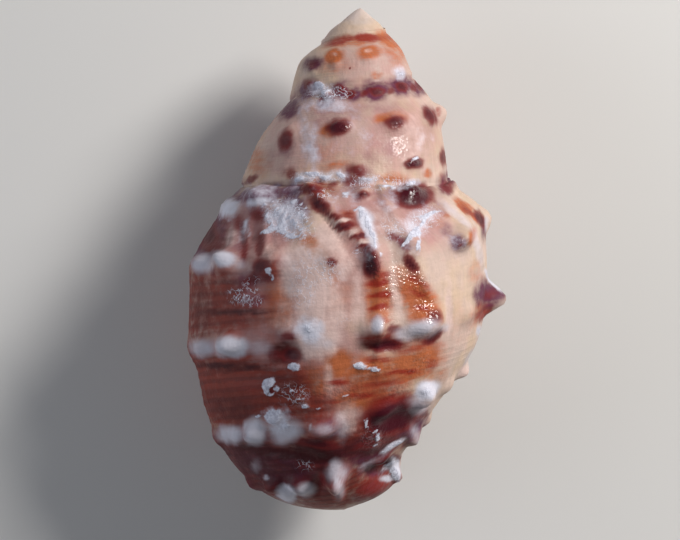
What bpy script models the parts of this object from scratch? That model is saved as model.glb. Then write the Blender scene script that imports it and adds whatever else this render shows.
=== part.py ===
"""A knobbly sea snail's shell, lying on its mouth, as one closed solid.

The shell is one strip of whorl wound round an upright axis. Two numbers name a place
on it: the turn, which counts growth from the pointed apex to the lip, and the row,
which runs from 0 at the seam above the whorl to 1 at the tip of the shell.
A whole turn is at the top of the finished part, a half turn underneath.
Lengths are millimetres until the mesh is written, which is in metres.
"""
import math

import bmesh
import bpy
import numpy as np

MM = 0.001

# How the growth is cut up into a mesh.
LAST_TURN = 5.37
WHORLS = 3.5
STEPS_PER_WHORL = 72
SPIRE_ROWS = 9
BASE_ROWS = 12

# The wall, the lip's rounded edge and the hollow behind it. Angles round the axis are in turns.
WALL = 1.6
LIP_STEPS = 4
LIP_OVERHANG = 0.006
PILLAR_STEP = 0.012
HOLLOW_TURNS = 0.78
HOLLOW_STEPS = 18
END_TURNS = 0.12

# How far the hollow's edges stay off the seam and off the tip, as shares of the rows.
LIP_GAPS = 0.045, 0.05
PILLAR_GAPS = 0.035, 0.05

# The notch in the lip beside the tip: its row, its half width in rows, its depth and reach in turns.
NOTCH_ROW, NOTCH_WIDTH = 0.91, 0.06
NOTCH_TURNS, NOTCH_REACH = 0.115, 0.3

# The seam that winds round the spire: turn, drop below the apex, distance from the axis.
SEAM = (
    (0.00, 0.05, 0.15), (1.25, 0.52, 0.78), (1.75, 0.90, 1.20), (2.25, 1.5, 1.85), (2.75, 2.4, 2.7),
    (3.25, 3.9, 3.85), (3.75, 6.8, 5.5), (4.25, 9.7, 6.75), (4.50, 13.2, 8.1), (4.75, 17.0, 9.3),
    (5.00, 17.9, 10.4), (5.25, 18.2, 11.3), (5.37, 18.5, 11.8), (5.50, 21.6, 11.5), (5.75, 30.5, 13.1),
    (6.00, 34.2, 14.3), (6.25, 36.4, 15.3), (6.40, 37.2, 15.6),
)

# How far the whorl swells out of the straight line between two seams: turn, swelling.
SWELL = (
    (0.00, 0.05), (2.25, 0.25), (2.75, 0.45), (3.25, 1.0), (3.75, 1.25), (4.25, 0.75),
    (4.50, 1.3), (4.75, 2.45), (5.00, 2.8), (5.25, 2.8), (5.40, 3.7),
)

# Where the shoulder and the lower ridge stand between two seams: turn, shoulder, ridge.
RIDGES = (
    (0.00, 0.40, 0.85), (3.00, 0.40, 0.82), (3.75, 0.34, 0.79), (4.00, 0.42, 0.85), (4.25, 0.46, 0.92),
    (4.50, 0.38, 0.86), (4.75, 0.27, 0.82), (5.00, 0.43, 0.86), (5.25, 0.43, 0.90), (5.40, 0.43, 0.90),
)

# Four places down the base of the last whorls: turn, then drop and distance from the axis of each.
BASE = (
    (3.75, (24.5, 7.6), (29.0, 4.6), (35.0, 3.0), (41.0, 2.4)),
    (4.00, (24.8, 8.8), (29.8, 5.2), (36.5, 3.4), (43.0, 2.7)),
    (4.37, (25.2, 10.4), (31.2, 6.6), (39.0, 4.4), (46.0, 3.6)),
    (4.50, (28.6, 10.4), (33.8, 7.7), (40.5, 5.3), (46.8, 4.4)),
    (4.75, (34.7, 11.6), (38.6, 8.9), (43.4, 5.9), (47.4, 4.8)),
    (5.00, (40.2, 12.2), (45.6, 8.6), (48.2, 6.0), (49.7, 3.4)),
    (5.25, (42.8, 13.1), (47.3, 9.9), (49.2, 7.3), (50.05, 4.2)),
    (5.40, (43.1, 14.4), (47.5, 10.7), (49.3, 7.5), (50.05, 4.4)),
)
TIP_DROP = 50.2

# Rows where the profile's named places stand, from the seam above down to the tip.
SEAM_BELOW = 0.46
SPIRE_PLACES = (0.0, 0.05, 0.12, 0.20, 0.30, 0.40, SEAM_BELOW)
SPIRE_SWELL = (0.0, 0.16, 0.66, 1.0, 0.80, 0.42, 0.0)
BASE_PLACES = (0.61, 0.75, 0.84, 0.92, 1.0)

# Rings of knobs: the row each ring follows.
COLLAR, SHOULDER, RIDGE, BELT, FOOT = 0.055, 0.22, 0.41, 0.625, 0.77

# Knobs one by one: turn, height, half length round the whorl and half width across it, in millimetres.
KNOBS = {
    COLLAR: (
        (4.79, 0.5, 1.0, 0.8), (4.86, 0.4, 1.0, 0.8), (4.92, 0.6, 1.2, 0.9), (4.99, 0.5, 1.0, 0.8),
        (5.06, 0.5, 1.2, 0.9), (5.15, 0.8, 1.6, 1.2),
    ),
    SHOULDER: (
        (3.76, 0.9, 0.9, 0.9), (3.84, 0.5, 0.9, 0.9), (3.93, 0.5, 1.1, 0.9), (4.03, 0.5, 1.1, 0.9),
        (4.13, 0.4, 1.1, 0.9), (4.47, 0.6, 1.1, 1.1), (4.58, 2.1, 1.4, 1.4), (4.68, 1.2, 1.1, 1.1),
        (4.76, 0.75, 1.1, 1.0), (4.86, 1.0, 1.1, 1.1), (4.937, 0.5, 1.0, 1.0), (4.978, 0.7, 1.1, 1.1),
        (5.02, 0.4, 1.0, 1.0), (5.083, 0.5, 1.1, 1.0), (5.147, 1.1, 1.5, 1.2), (5.20, 1.0, 1.3, 1.2),
        (5.27, 1.0, 1.3, 1.2), (5.33, 0.9, 1.3, 1.2),
    ),
    RIDGE: (
        (4.36, 0.5, 0.9, 0.9), (4.48, 0.2, 1.1, 1.0), (4.58, 1.4, 1.4, 1.3), (4.68, 1.3, 1.2, 1.1),
        (4.761, 2.1, 1.2, 1.2), (4.85, 0.5, 1.2, 1.0), (4.915, 1.2, 1.7, 1.1), (4.973, 1.3, 1.3, 1.2),
        (5.065, 0.5, 1.2, 1.0), (5.138, 1.1, 1.4, 1.1), (5.182, 0.9, 1.3, 1.0), (5.25, 0.9, 1.4, 1.1),
        (5.32, 0.9, 1.4, 1.1),
    ),
    BELT: (
        (4.60, 0.6, 1.0, 0.9), (4.69, 0.8, 1.0, 0.9), (4.779, 0.8, 0.8, 0.8), (4.84, 0.5, 0.9, 0.8),
        (4.89, 1.1, 1.0, 0.9), (4.95, 0.6, 1.1, 0.9), (5.033, 0.8, 1.6, 0.9), (5.13, 0.9, 1.3, 1.0),
        (5.16, 0.8, 1.2, 1.0), (5.25, 0.7, 1.3, 0.9), (5.32, 0.7, 1.3, 0.9),
    ),
    FOOT: (
        (4.70, 0.4, 0.8, 0.8), (4.75, 0.4, 0.7, 0.7), (4.80, 0.5, 0.7, 0.7), (4.85, 0.6, 0.8, 0.8),
        (4.93, 0.5, 0.9, 0.8), (5.019, 1.5, 0.9, 1.1), (5.092, 0.9, 1.0, 0.9), (5.145, 1.0, 1.1, 0.9),
        (5.22, 0.6, 1.1, 0.9), (5.30, 0.6, 1.1, 0.9),
    ),
}

# The pale swelling that runs down the back of the last whorl: its height, middle and half widths.
FOLD_HEIGHT = 0.55
FOLD_TURN, FOLD_WIDTH = 5.03, 0.035
FOLD_ROW, FOLD_ROWS = 0.5, 0.25

# Height of the axis above the table. What would reach lower is worn flat, and the shell rests there.
AXIS_HEIGHT = 11.35

SHELL_COLOUR = (0.60, 0.44, 0.36, 1.0)
SHELL_ROUGHNESS = 0.45


def through(places, values, at):
    """Follow a smooth curve through values standing at places, and read it at other places.

    Each stretch is a cubic whose slope at a place is the mean of the two slopes beside it.
    """
    places = np.asarray(places, float)
    values = np.asarray(values, float)
    at = np.clip(np.asarray(at, float), places[0], places[-1])
    gap = np.diff(places).reshape((-1,) + (1,) * (values.ndim - 1))
    rise = np.diff(values, axis=0) / gap
    slope = np.concatenate([rise[:1], rise[:1], rise[1:]])[: len(values)]
    slope[1:-1] = (rise[:-1] * gap[1:] + rise[1:] * gap[:-1]) / (gap[1:] + gap[:-1])
    slope[-1] = rise[-1]
    stretch = np.clip(np.searchsorted(places, at, side="right") - 1, 0, len(places) - 2)
    width = gap[stretch].reshape(at.shape + (1,) * (values.ndim - 1))
    part = (at - places[stretch]).reshape(width.shape) / width
    back = 1.0 - part
    return (
        (1 + 2 * part) * back**2 * values[stretch]
        + part * back**2 * width * slope[stretch]
        + part**2 * (3 - 2 * part) * values[stretch + 1]
        - part**2 * back * width * slope[stretch + 1]
    )


def seam(turn):
    """Drop and distance from the axis of the seam above a whorl."""
    table = np.array(SEAM)
    return through(table[:, 0], table[:, 1:], turn)


def profile_places(turn):
    """Named places of the whorl's profile at each turn, as (place, ..., drop and distance)."""
    above = seam(turn)
    chord = seam(np.asarray(turn) + 1) - above
    outward = np.stack([-chord[..., 1], chord[..., 0]], -1)
    outward /= np.linalg.norm(outward, axis=-1, keepdims=True)
    swell = through(*zip(*SWELL), turn)[..., None]
    ridges = np.array(RIDGES)
    shoulder, ridge = np.moveaxis(through(ridges[:, 0], ridges[:, 1:], turn), -1, 0)[..., None]
    along = (0.0, 0.14 * shoulder, 0.55 * shoulder, shoulder, (shoulder + ridge) / 2, ridge, 1.0)
    spire = [above + chord * way + outward * swell * out for way, out in zip(along, SPIRE_SWELL)]
    base = through([line[0] for line in BASE], [line[1:] for line in BASE], turn)
    tip = np.broadcast_to((TIP_DROP, 0.0), above.shape)
    return np.stack(spire + [base[..., place, :] for place in range(4)] + [tip])


def profile(turn, row):
    """Drop and distance from the axis at each turn and row, and the outward direction there."""
    places = profile_places(turn)
    knots = SPIRE_PLACES + BASE_PLACES
    shares = np.eye(len(knots))
    nudge = 0.001
    at = np.einsum("...k,k...c->...c", through(knots, shares, row), places)
    ahead = np.einsum("...k,k...c->...c", through(knots, shares, row + nudge), places)
    behind = np.einsum("...k,k...c->...c", through(knots, shares, row - nudge), places)
    way = ahead - behind
    out = np.stack([-way[..., 1], way[..., 0]], -1)
    return at, out / np.maximum(np.linalg.norm(out, axis=-1, keepdims=True), 1e-9)


def bump(distance):
    """A smooth round knob, 1 in its middle and 0 from two half widths away."""
    return np.clip(1 - (distance / 2) ** 2, 0, 1) ** 3


def knob_height(turn, row, here):
    """Height of the knobs and of the pale fold above the smooth whorl, whose places are here."""
    height = np.zeros(turn.shape)
    for ring, knobs in KNOBS.items():
        middle = profile(turn, np.full(turn.shape, ring))[0]
        across = np.linalg.norm(here - middle, axis=-1)
        for knob_turn, tall, long, wide in knobs:
            round_whorl = (turn - knob_turn) * math.tau * middle[..., 1]
            height = np.maximum(height, tall * bump(np.hypot(round_whorl / long, across / wide)))
    fold = bump((turn - FOLD_TURN) / FOLD_WIDTH) * bump((row - FOLD_ROW) / FOLD_ROWS)
    return height + FOLD_HEIGHT * fold


def lip_turn(row):
    """How far back from the last turn the edge of the lip stands at each row: the notch at the tip."""
    return NOTCH_TURNS * np.exp(-(((row - NOTCH_ROW) / NOTCH_WIDTH) ** 2))


def notch_share(turn):
    """Share of the notch that a growth line keeps: all of it at the lip, none of it further back."""
    return np.clip((turn - LAST_TURN) / NOTCH_REACH + 1, 0, 1) ** 2


def wind(turn, drop, distance):
    """Points in the shell's own frame: the axis along Y, the apex up, whole turns facing +Z."""
    angle = math.tau * np.asarray(turn)
    return np.stack(np.broadcast_arrays(-distance * np.sin(angle), -drop, distance * np.cos(angle)), -1)


def rows():
    """Rows of the grid: even steps to the seam below, then even steps to the tip."""
    spire = np.linspace(0, SEAM_BELOW, SPIRE_ROWS + 1)
    base = np.linspace(SEAM_BELOW, 1, BASE_ROWS + 1)
    return np.concatenate([spire, base[1:]])


def outside(turn, row):
    """Points on the outside, with the knobs on."""
    turn = turn - lip_turn(row) * notch_share(turn)
    at, out = profile(turn, row)
    at = at + out * knob_height(turn, row, at)[..., None]
    return wind(turn, at[..., 0], at[..., 1])


def lip_side(depth, edge):
    """Points on the hollow's outer side, a wall's thickness in from the outside.

    edge runs from 0 to 1 round the lip's rounded edge, and depth is in turns behind it.
    """
    row = rows()
    row = row + edge * (LIP_GAPS[0] * (1 - row) - LIP_GAPS[1] * row)
    half_round = math.pi * edge
    turn = LAST_TURN - depth + LIP_OVERHANG * math.sin(half_round)
    turn = turn - lip_turn(row) * notch_share(turn)
    at, out = profile(turn, row)
    at = at - out * WALL * (1 - math.cos(half_round)) / 2
    return wind(turn, at[:, 0], at[:, 1])


def pillar_side(depth, edge):
    """Points on the hollow's inner side: the whorl before, from its lower seam to the tip."""
    row = rows()[SPIRE_ROWS:]
    row = row + edge * (PILLAR_GAPS[0] * (1 - row) - PILLAR_GAPS[1] * row)
    turn = np.full_like(row, LAST_TURN - 1 - depth - PILLAR_STEP * edge)
    at = profile(turn, row)[0]
    return wind(turn, at[:, 0], at[:, 1])


def hollow_ring(depth, edge):
    """One ring round the hollow: the seam's corner, down the lip, the tip, and back up the pillar.

    Near the blind end the ring shrinks towards its middle, as a ball's circles do.
    """
    lip = lip_side(depth, edge)
    pillar = pillar_side(depth, edge)
    corner = (lip[0] + pillar[0]) / 2
    foot = (lip[-1] + pillar[-1]) / 2
    ring = np.concatenate([[corner], lip[1:-1], [foot], pillar[-2:0:-1]])
    into_end = max(0.0, 1 - (HOLLOW_TURNS - depth) / END_TURNS)
    middle = ring.mean(axis=0)
    return middle + (ring - middle) * math.sqrt(1 - into_end**2)


def hollow_rings():
    """All rings of the hollow, from just inside the lip's edge to the blind end."""
    edges = np.linspace(0, 1, LIP_STEPS + 1)[1:]
    depths = np.linspace(0, HOLLOW_TURNS, HOLLOW_STEPS + 1)[1:-1]
    return [hollow_ring(0.0, edge) for edge in edges] + [hollow_ring(depth, 1.0) for depth in depths]


def number_grid(columns, last):
    """Number the outside's points by column and row. Each whorl's lower edge is the next one's seam."""
    first_base = columns - STEPS_PER_WHORL
    used = np.ones((columns + 1, last + 1), bool)
    used[:first_base, SPIRE_ROWS:] = False
    used[:, last] = False
    number = np.full(used.shape, used.sum())
    number[used] = np.arange(used.sum())
    number[: first_base + 1, SPIRE_ROWS] = number[STEPS_PER_WHORL:, 0]
    return number, used


def whorl_faces(number):
    """Faces between neighbouring columns and rows. Only the last whorl has the base, down to the tip."""
    columns, last = number.shape[0] - 1, number.shape[1] - 1
    faces = []
    for column in range(columns):
        base = column >= columns - STEPS_PER_WHORL
        for row in range(last if base else SPIRE_ROWS):
            corners = (*number[column, row : row + 2], *number[column + 1, row : row + 2][::-1])
            faces.append(tuple(dict.fromkeys(corners)))
    return faces


def fan(ring, middle):
    """Triangles from a closed ring of points to one point."""
    return [(a, b, middle) for a, b in zip(ring, [*ring[1:], ring[0]])]


def band(ring, inner):
    """Four-sided faces between two closed rings of points."""
    return [(a, b, d, c) for a, b, c, d in zip(ring, [*ring[1:], ring[0]], inner, [*inner[1:], inner[0]])]


def build_shell():
    """The outside, the lip and the hollow as one closed mesh: points and faces."""
    row = rows()
    columns, last = int(WHORLS * STEPS_PER_WHORL), len(row) - 1
    turns = LAST_TURN - np.arange(columns, -1, -1) / STEPS_PER_WHORL
    number, used = number_grid(columns, last)
    points = list(outside(*np.broadcast_arrays(turns[:, None], row))[used])
    faces = whorl_faces(number)
    points.append(wind(0.0, TIP_DROP, 0.0))

    start = [*number[0, :SPIRE_ROWS], *number[STEPS_PER_WHORL:0:-1, 0]]
    faces += fan(start, len(points))
    points.append(wind(0.0, 0.0, 0.0))

    first_base = columns - STEPS_PER_WHORL
    ring = [*number[columns], *number[first_base, last - 1 : SPIRE_ROWS : -1]]
    for inner_points in hollow_rings():
        inner = list(range(len(points), len(points) + len(ring)))
        points.extend(inner_points)
        faces += band(ring, inner)
        ring = inner
    faces += fan(ring, len(points))
    points.append(hollow_ring(HOLLOW_TURNS, 1.0)[0])
    return np.array(points), faces


def lay_down(points):
    """Set the shell on the table with its middle over the origin, worn flat where it touches."""
    middle = (points.min(axis=0) + points.max(axis=0)) / 2
    laid = points - (middle[0], middle[1], -AXIS_HEIGHT)
    laid[:, 2] = np.maximum(laid[:, 2], 0.0)
    return laid


def make_material():
    """Pale chalky shell."""
    material = bpy.data.materials.new("shell")
    material.use_nodes = True
    shader = material.node_tree.nodes["Principled BSDF"]
    shader.inputs["Base Color"].default_value = SHELL_COLOUR
    shader.inputs["Roughness"].default_value = SHELL_ROUGHNESS
    shader.inputs["Metallic"].default_value = 0.0
    return material


def make_shell():
    """The shell as one object."""
    points, faces = build_shell()
    mesh = bpy.data.meshes.new("shell")
    mesh.from_pydata(lay_down(points) * MM, [], faces)
    shape = bmesh.new()
    shape.from_mesh(mesh)
    bmesh.ops.recalc_face_normals(shape, faces=shape.faces)
    shape.to_mesh(mesh)
    shape.free()
    mesh.shade_smooth()
    mesh.materials.append(make_material())
    shell = bpy.data.objects.new("shell", mesh)
    bpy.context.scene.collection.objects.link(shell)
    return shell


def main():
    """Empty the scene and make the shell."""
    for thing in list(bpy.data.objects):
        bpy.data.objects.remove(thing)
    make_shell()


main()
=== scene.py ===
"""A knobbly sea snail's shell, wet and blotched in cream, orange, brown and violet, lying on its mouth.

The shell is one strip of whorl wound round an upright axis. Two numbers name a place
on it: the turn, which counts growth from the pointed apex to the lip, and the row,
which runs from 0 at the seam above the whorl to 1 at the tip of the shell.
A whole turn is at the top of the lying shell, a half turn underneath.
Places and lengths are millimetres until the mesh is written, which is in metres.
"""

import math

import bpy
import numpy as np
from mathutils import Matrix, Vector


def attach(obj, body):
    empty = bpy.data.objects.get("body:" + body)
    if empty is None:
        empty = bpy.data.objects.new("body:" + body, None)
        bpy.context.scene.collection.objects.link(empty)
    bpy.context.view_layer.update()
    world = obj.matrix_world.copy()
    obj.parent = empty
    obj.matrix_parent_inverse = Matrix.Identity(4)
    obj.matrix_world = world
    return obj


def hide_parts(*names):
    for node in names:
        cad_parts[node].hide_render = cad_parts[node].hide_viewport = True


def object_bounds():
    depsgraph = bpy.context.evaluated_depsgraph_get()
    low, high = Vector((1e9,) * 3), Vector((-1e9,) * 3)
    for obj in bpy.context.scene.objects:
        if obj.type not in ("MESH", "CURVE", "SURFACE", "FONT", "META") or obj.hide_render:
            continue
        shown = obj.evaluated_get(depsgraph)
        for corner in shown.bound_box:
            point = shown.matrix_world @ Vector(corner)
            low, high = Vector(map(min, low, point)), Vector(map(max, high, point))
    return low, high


bl_info = {
    "name": "Knobbly Sea Snail Shell",
    "version": (1, 0, 0),
    "blender": (4, 5, 0),
    "location": "3D View > Sidebar > Shell",
    "description": "Builds a wound, knobbly and weathered sea shell and the table it lies on",
    "category": "Add Mesh",
}

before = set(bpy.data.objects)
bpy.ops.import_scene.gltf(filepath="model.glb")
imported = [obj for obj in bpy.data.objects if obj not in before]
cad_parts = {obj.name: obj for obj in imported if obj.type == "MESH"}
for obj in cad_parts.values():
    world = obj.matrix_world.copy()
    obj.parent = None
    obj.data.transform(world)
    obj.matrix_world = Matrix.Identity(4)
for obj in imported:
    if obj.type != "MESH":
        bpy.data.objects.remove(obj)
CAD_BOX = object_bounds()
MM = 0.001

# How the growth is cut up into a mesh.
LAST_TURN = 5.37
WHORLS = 3.875
STEPS_PER_WHORL = 288
SPIRE_ROWS = 56
BASE_ROWS = 82
CAP_RINGS = 6
CAP_ROUNDING = 1.25

# The wall, the lip's rounded edge and the hollow behind it. Angles round the axis are in turns.
WALL = 1.6
LIP_STEPS = 8
LIP_OVERHANG = 0.006
PILLAR_STEP = 0.012
HOLLOW_TURNS = 0.78
HOLLOW_STEPS = 36
END_TURNS = 0.12

# How far the hollow's rows draw in from the seam and from the tip, on the lip and on the pillar.
LIP_GAPS = 0.08, 0.05
PILLAR_GAPS = 0.07, 0.05

# The notch in the lip beside the tip: its row, its half width in rows, its depth and reach in turns.
NOTCH_ROW, NOTCH_WIDTH = 0.91, 0.06
NOTCH_TURNS, NOTCH_REACH = 0.115, 0.3

# Teeth along the lip: their depth and how far back they reach, in turns, and their spacing in
# millimetres. The ridges inside the lip, the lirae, start from the teeth and fade with depth in turns.
TOOTH_TURNS, TOOTH_REACH = 0.004, 0.02
TOOTH_SPACING = 1.7
LIRA_FADE = 0.12

# The seam that winds round the spire: turn, drop below the apex, distance from the axis.
SEAM = (
    (0.00, 0.05, 0.15), (1.25, 0.52, 0.78), (1.75, 0.90, 1.20), (2.25, 1.5, 1.85), (2.75, 2.4, 2.7),
    (3.25, 3.9, 3.85), (3.75, 6.8, 5.5), (4.25, 9.7, 6.75), (4.50, 13.2, 8.1), (4.75, 17.0, 9.3),
    (5.00, 17.9, 10.4), (5.25, 18.2, 11.3), (5.37, 18.5, 11.8), (5.50, 21.6, 11.5), (5.75, 30.5, 13.1),
    (6.00, 34.2, 14.3), (6.25, 36.4, 15.3), (6.40, 37.2, 15.6),
)

# How far the whorl swells out of the straight line between two seams: turn, swelling.
SWELL = (
    (0.00, 0.05), (2.25, 0.25), (2.75, 0.45), (3.25, 1.0), (3.75, 1.25), (4.25, 0.75),
    (4.50, 1.3), (4.75, 2.45), (5.00, 2.8), (5.25, 2.8), (5.40, 3.7),
)

# Where the shoulder and the lower ridge stand between two seams: turn, shoulder, ridge.
RIDGES = (
    (0.00, 0.40, 0.85), (3.00, 0.40, 0.82), (3.75, 0.34, 0.79), (4.00, 0.42, 0.85), (4.25, 0.46, 0.92),
    (4.50, 0.38, 0.86), (4.75, 0.27, 0.82), (5.00, 0.43, 0.86), (5.25, 0.43, 0.90), (5.40, 0.43, 0.90),
)

# Four places down the base of the last whorls: turn, then drop and distance from the axis of each.
BASE = (
    (3.75, (24.5, 7.6), (29.0, 4.6), (35.0, 3.0), (41.0, 2.4)),
    (4.00, (24.8, 8.8), (29.8, 5.2), (36.5, 3.4), (43.0, 2.7)),
    (4.37, (25.2, 10.4), (31.2, 6.6), (39.0, 4.4), (46.0, 3.6)),
    (4.50, (28.6, 10.4), (33.8, 7.7), (40.5, 5.3), (46.8, 4.4)),
    (4.75, (34.7, 11.6), (38.6, 8.9), (43.4, 5.9), (47.4, 4.8)),
    (5.00, (40.2, 12.2), (45.6, 8.6), (48.2, 6.0), (49.7, 3.4)),
    (5.25, (42.8, 13.1), (47.3, 9.9), (49.2, 7.3), (50.05, 4.2)),
    (5.40, (43.1, 14.4), (47.5, 10.7), (49.3, 7.5), (50.05, 4.4)),
)
TIP_DROP = 50.2

# Rows where the profile's named places stand, from the seam above down to the tip.
SEAM_BELOW = 0.46
SPIRE_PLACES = (0.0, 0.05, 0.12, 0.20, 0.30, 0.40, SEAM_BELOW)
SPIRE_SWELL = (0.0, 0.16, 0.66, 1.0, 0.80, 0.42, 0.0)
BASE_PLACES = (0.61, 0.75, 0.84, 0.92, 1.0)

# Rings of knobs: the row each ring follows.
COLLAR, SHOULDER, RIDGE, BELT, FOOT = 0.055, 0.22, 0.41, 0.625, 0.77

# Knobs one by one: turn, height, half length round the whorl and half width across it, in millimetres.
KNOBS = {
    COLLAR: (
        (4.79, 0.5, 1.0, 0.8), (4.86, 0.4, 1.0, 0.8), (4.92, 0.6, 1.2, 0.9), (4.99, 0.5, 1.0, 0.8),
        (5.06, 0.5, 1.2, 0.9), (5.15, 0.8, 1.6, 1.2),
    ),
    SHOULDER: (
        (3.76, 0.9, 0.9, 0.9), (3.84, 0.5, 0.9, 0.9), (3.93, 0.5, 1.1, 0.9), (4.03, 0.5, 1.1, 0.9),
        (4.13, 0.4, 1.1, 0.9), (4.47, 0.6, 1.1, 1.1), (4.58, 2.1, 1.4, 1.4), (4.68, 1.2, 1.1, 1.1),
        (4.76, 0.75, 1.1, 1.0), (4.86, 1.0, 1.1, 1.1), (4.937, 0.5, 1.0, 1.0), (4.978, 0.7, 1.1, 1.1),
        (5.02, 0.4, 1.0, 1.0), (5.083, 0.5, 1.1, 1.0), (5.147, 1.1, 1.5, 1.2), (5.20, 0.75, 1.3, 1.2),
        (5.27, 0.3, 1.3, 1.2), (5.33, 0.9, 1.3, 1.2),
    ),
    RIDGE: (
        (4.36, 0.5, 0.9, 0.9), (4.48, 0.2, 1.1, 1.0), (4.58, 1.4, 1.4, 1.3), (4.68, 1.3, 1.2, 1.1),
        (4.761, 2.1, 1.2, 1.2), (4.85, 0.5, 1.2, 1.0), (4.915, 1.2, 1.7, 1.1), (4.973, 1.3, 1.3, 1.2),
        (5.065, 0.5, 1.2, 1.0), (5.138, 1.1, 1.4, 1.1), (5.182, 0.75, 1.3, 1.0), (5.25, 0.25, 1.4, 1.1),
        (5.32, 0.9, 1.4, 1.1),
    ),
    BELT: (
        (4.60, 0.6, 1.0, 0.9), (4.69, 0.8, 1.0, 0.9), (4.779, 0.8, 0.8, 0.8), (4.84, 0.5, 0.9, 0.8),
        (4.89, 1.1, 1.0, 0.9), (4.95, 0.6, 1.1, 0.9), (5.033, 0.8, 1.6, 0.9), (5.13, 0.9, 1.3, 1.0),
        (5.16, 0.8, 1.2, 1.0), (5.25, 0.4, 1.3, 0.9), (5.32, 0.7, 1.3, 0.9),
    ),
    FOOT: (
        (4.70, 0.4, 0.8, 0.8), (4.75, 0.4, 0.7, 0.7), (4.80, 0.5, 0.7, 0.7), (4.85, 0.6, 0.8, 0.8),
        (4.93, 0.5, 0.9, 0.8), (5.019, 1.5, 0.9, 1.1), (5.092, 0.9, 1.0, 0.9), (5.145, 1.0, 1.1, 0.9),
        (5.22, 0.6, 1.1, 0.9), (5.30, 0.6, 1.1, 0.9),
    ),
}

# The pale swelling that runs down the back of the last whorl: its height, middle and half widths.
FOLD_HEIGHT = 0.55
FOLD_TURN, FOLD_WIDTH = 5.03, 0.035
FOLD_ROW, FOLD_ROWS = 0.5, 0.25

# Edges of former lips: the rows they pass, the turns they stand at there, their height, and how
# far the older shell rises towards them and how quickly the younger shell falls away.
OLD_LIPS = (
    ((0.03, 0.13, 0.23, 0.41, 0.60), (5.068, 5.016, 4.981, 4.973, 4.965), 0.55, 1.5, 0.34),
    ((0.08, 0.20, 0.33, 0.42, 0.55), (4.962, 4.937, 4.920, 4.900, 4.890), 0.36, 0.9, 0.32),
    ((0.03, 0.13, 0.23, 0.41, 0.60), (4.728, 4.676, 4.641, 4.633, 4.625), 0.25, 1.4, 0.34),
)
OLD_LIP_END = 0.42

# The groove along the seam: its depth in millimetres and its half width in rows.
SEAM_DEPTH, SEAM_WIDTH = 0.34, 0.009

# How far a growth line leans forward at each row, in turns.
LEAN_ROWS = (0.0, 0.13, 0.23, 0.41, 0.7, 1.0)
LEAN_TURNS = (0.085, 0.035, 0.0, -0.008, 0.0, 0.05)
MM_PER_TURN = 88.0

# Where the apex stands above the table: right, ahead, and the height of the axis.
# What would reach below the table is worn flat, and the shell rests there.
APEX_PLACE = (0.63, 25.1)
AXIS_HEIGHT = 11.35

# The camera looks straight down. The axis leans a little to the left on the picture, and a pixel
# is a tenth of a millimetre. The apex stands at this pixel of a picture of this size.
AXIS_LEAN = 0.032
PIXEL = 0.1
APEX_PIXEL = (360, 8)
PICTURE_PIXELS = (680, 540)

# The turn that faces the camera, on the last whorl.
BACK_TURN = 5.0

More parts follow.
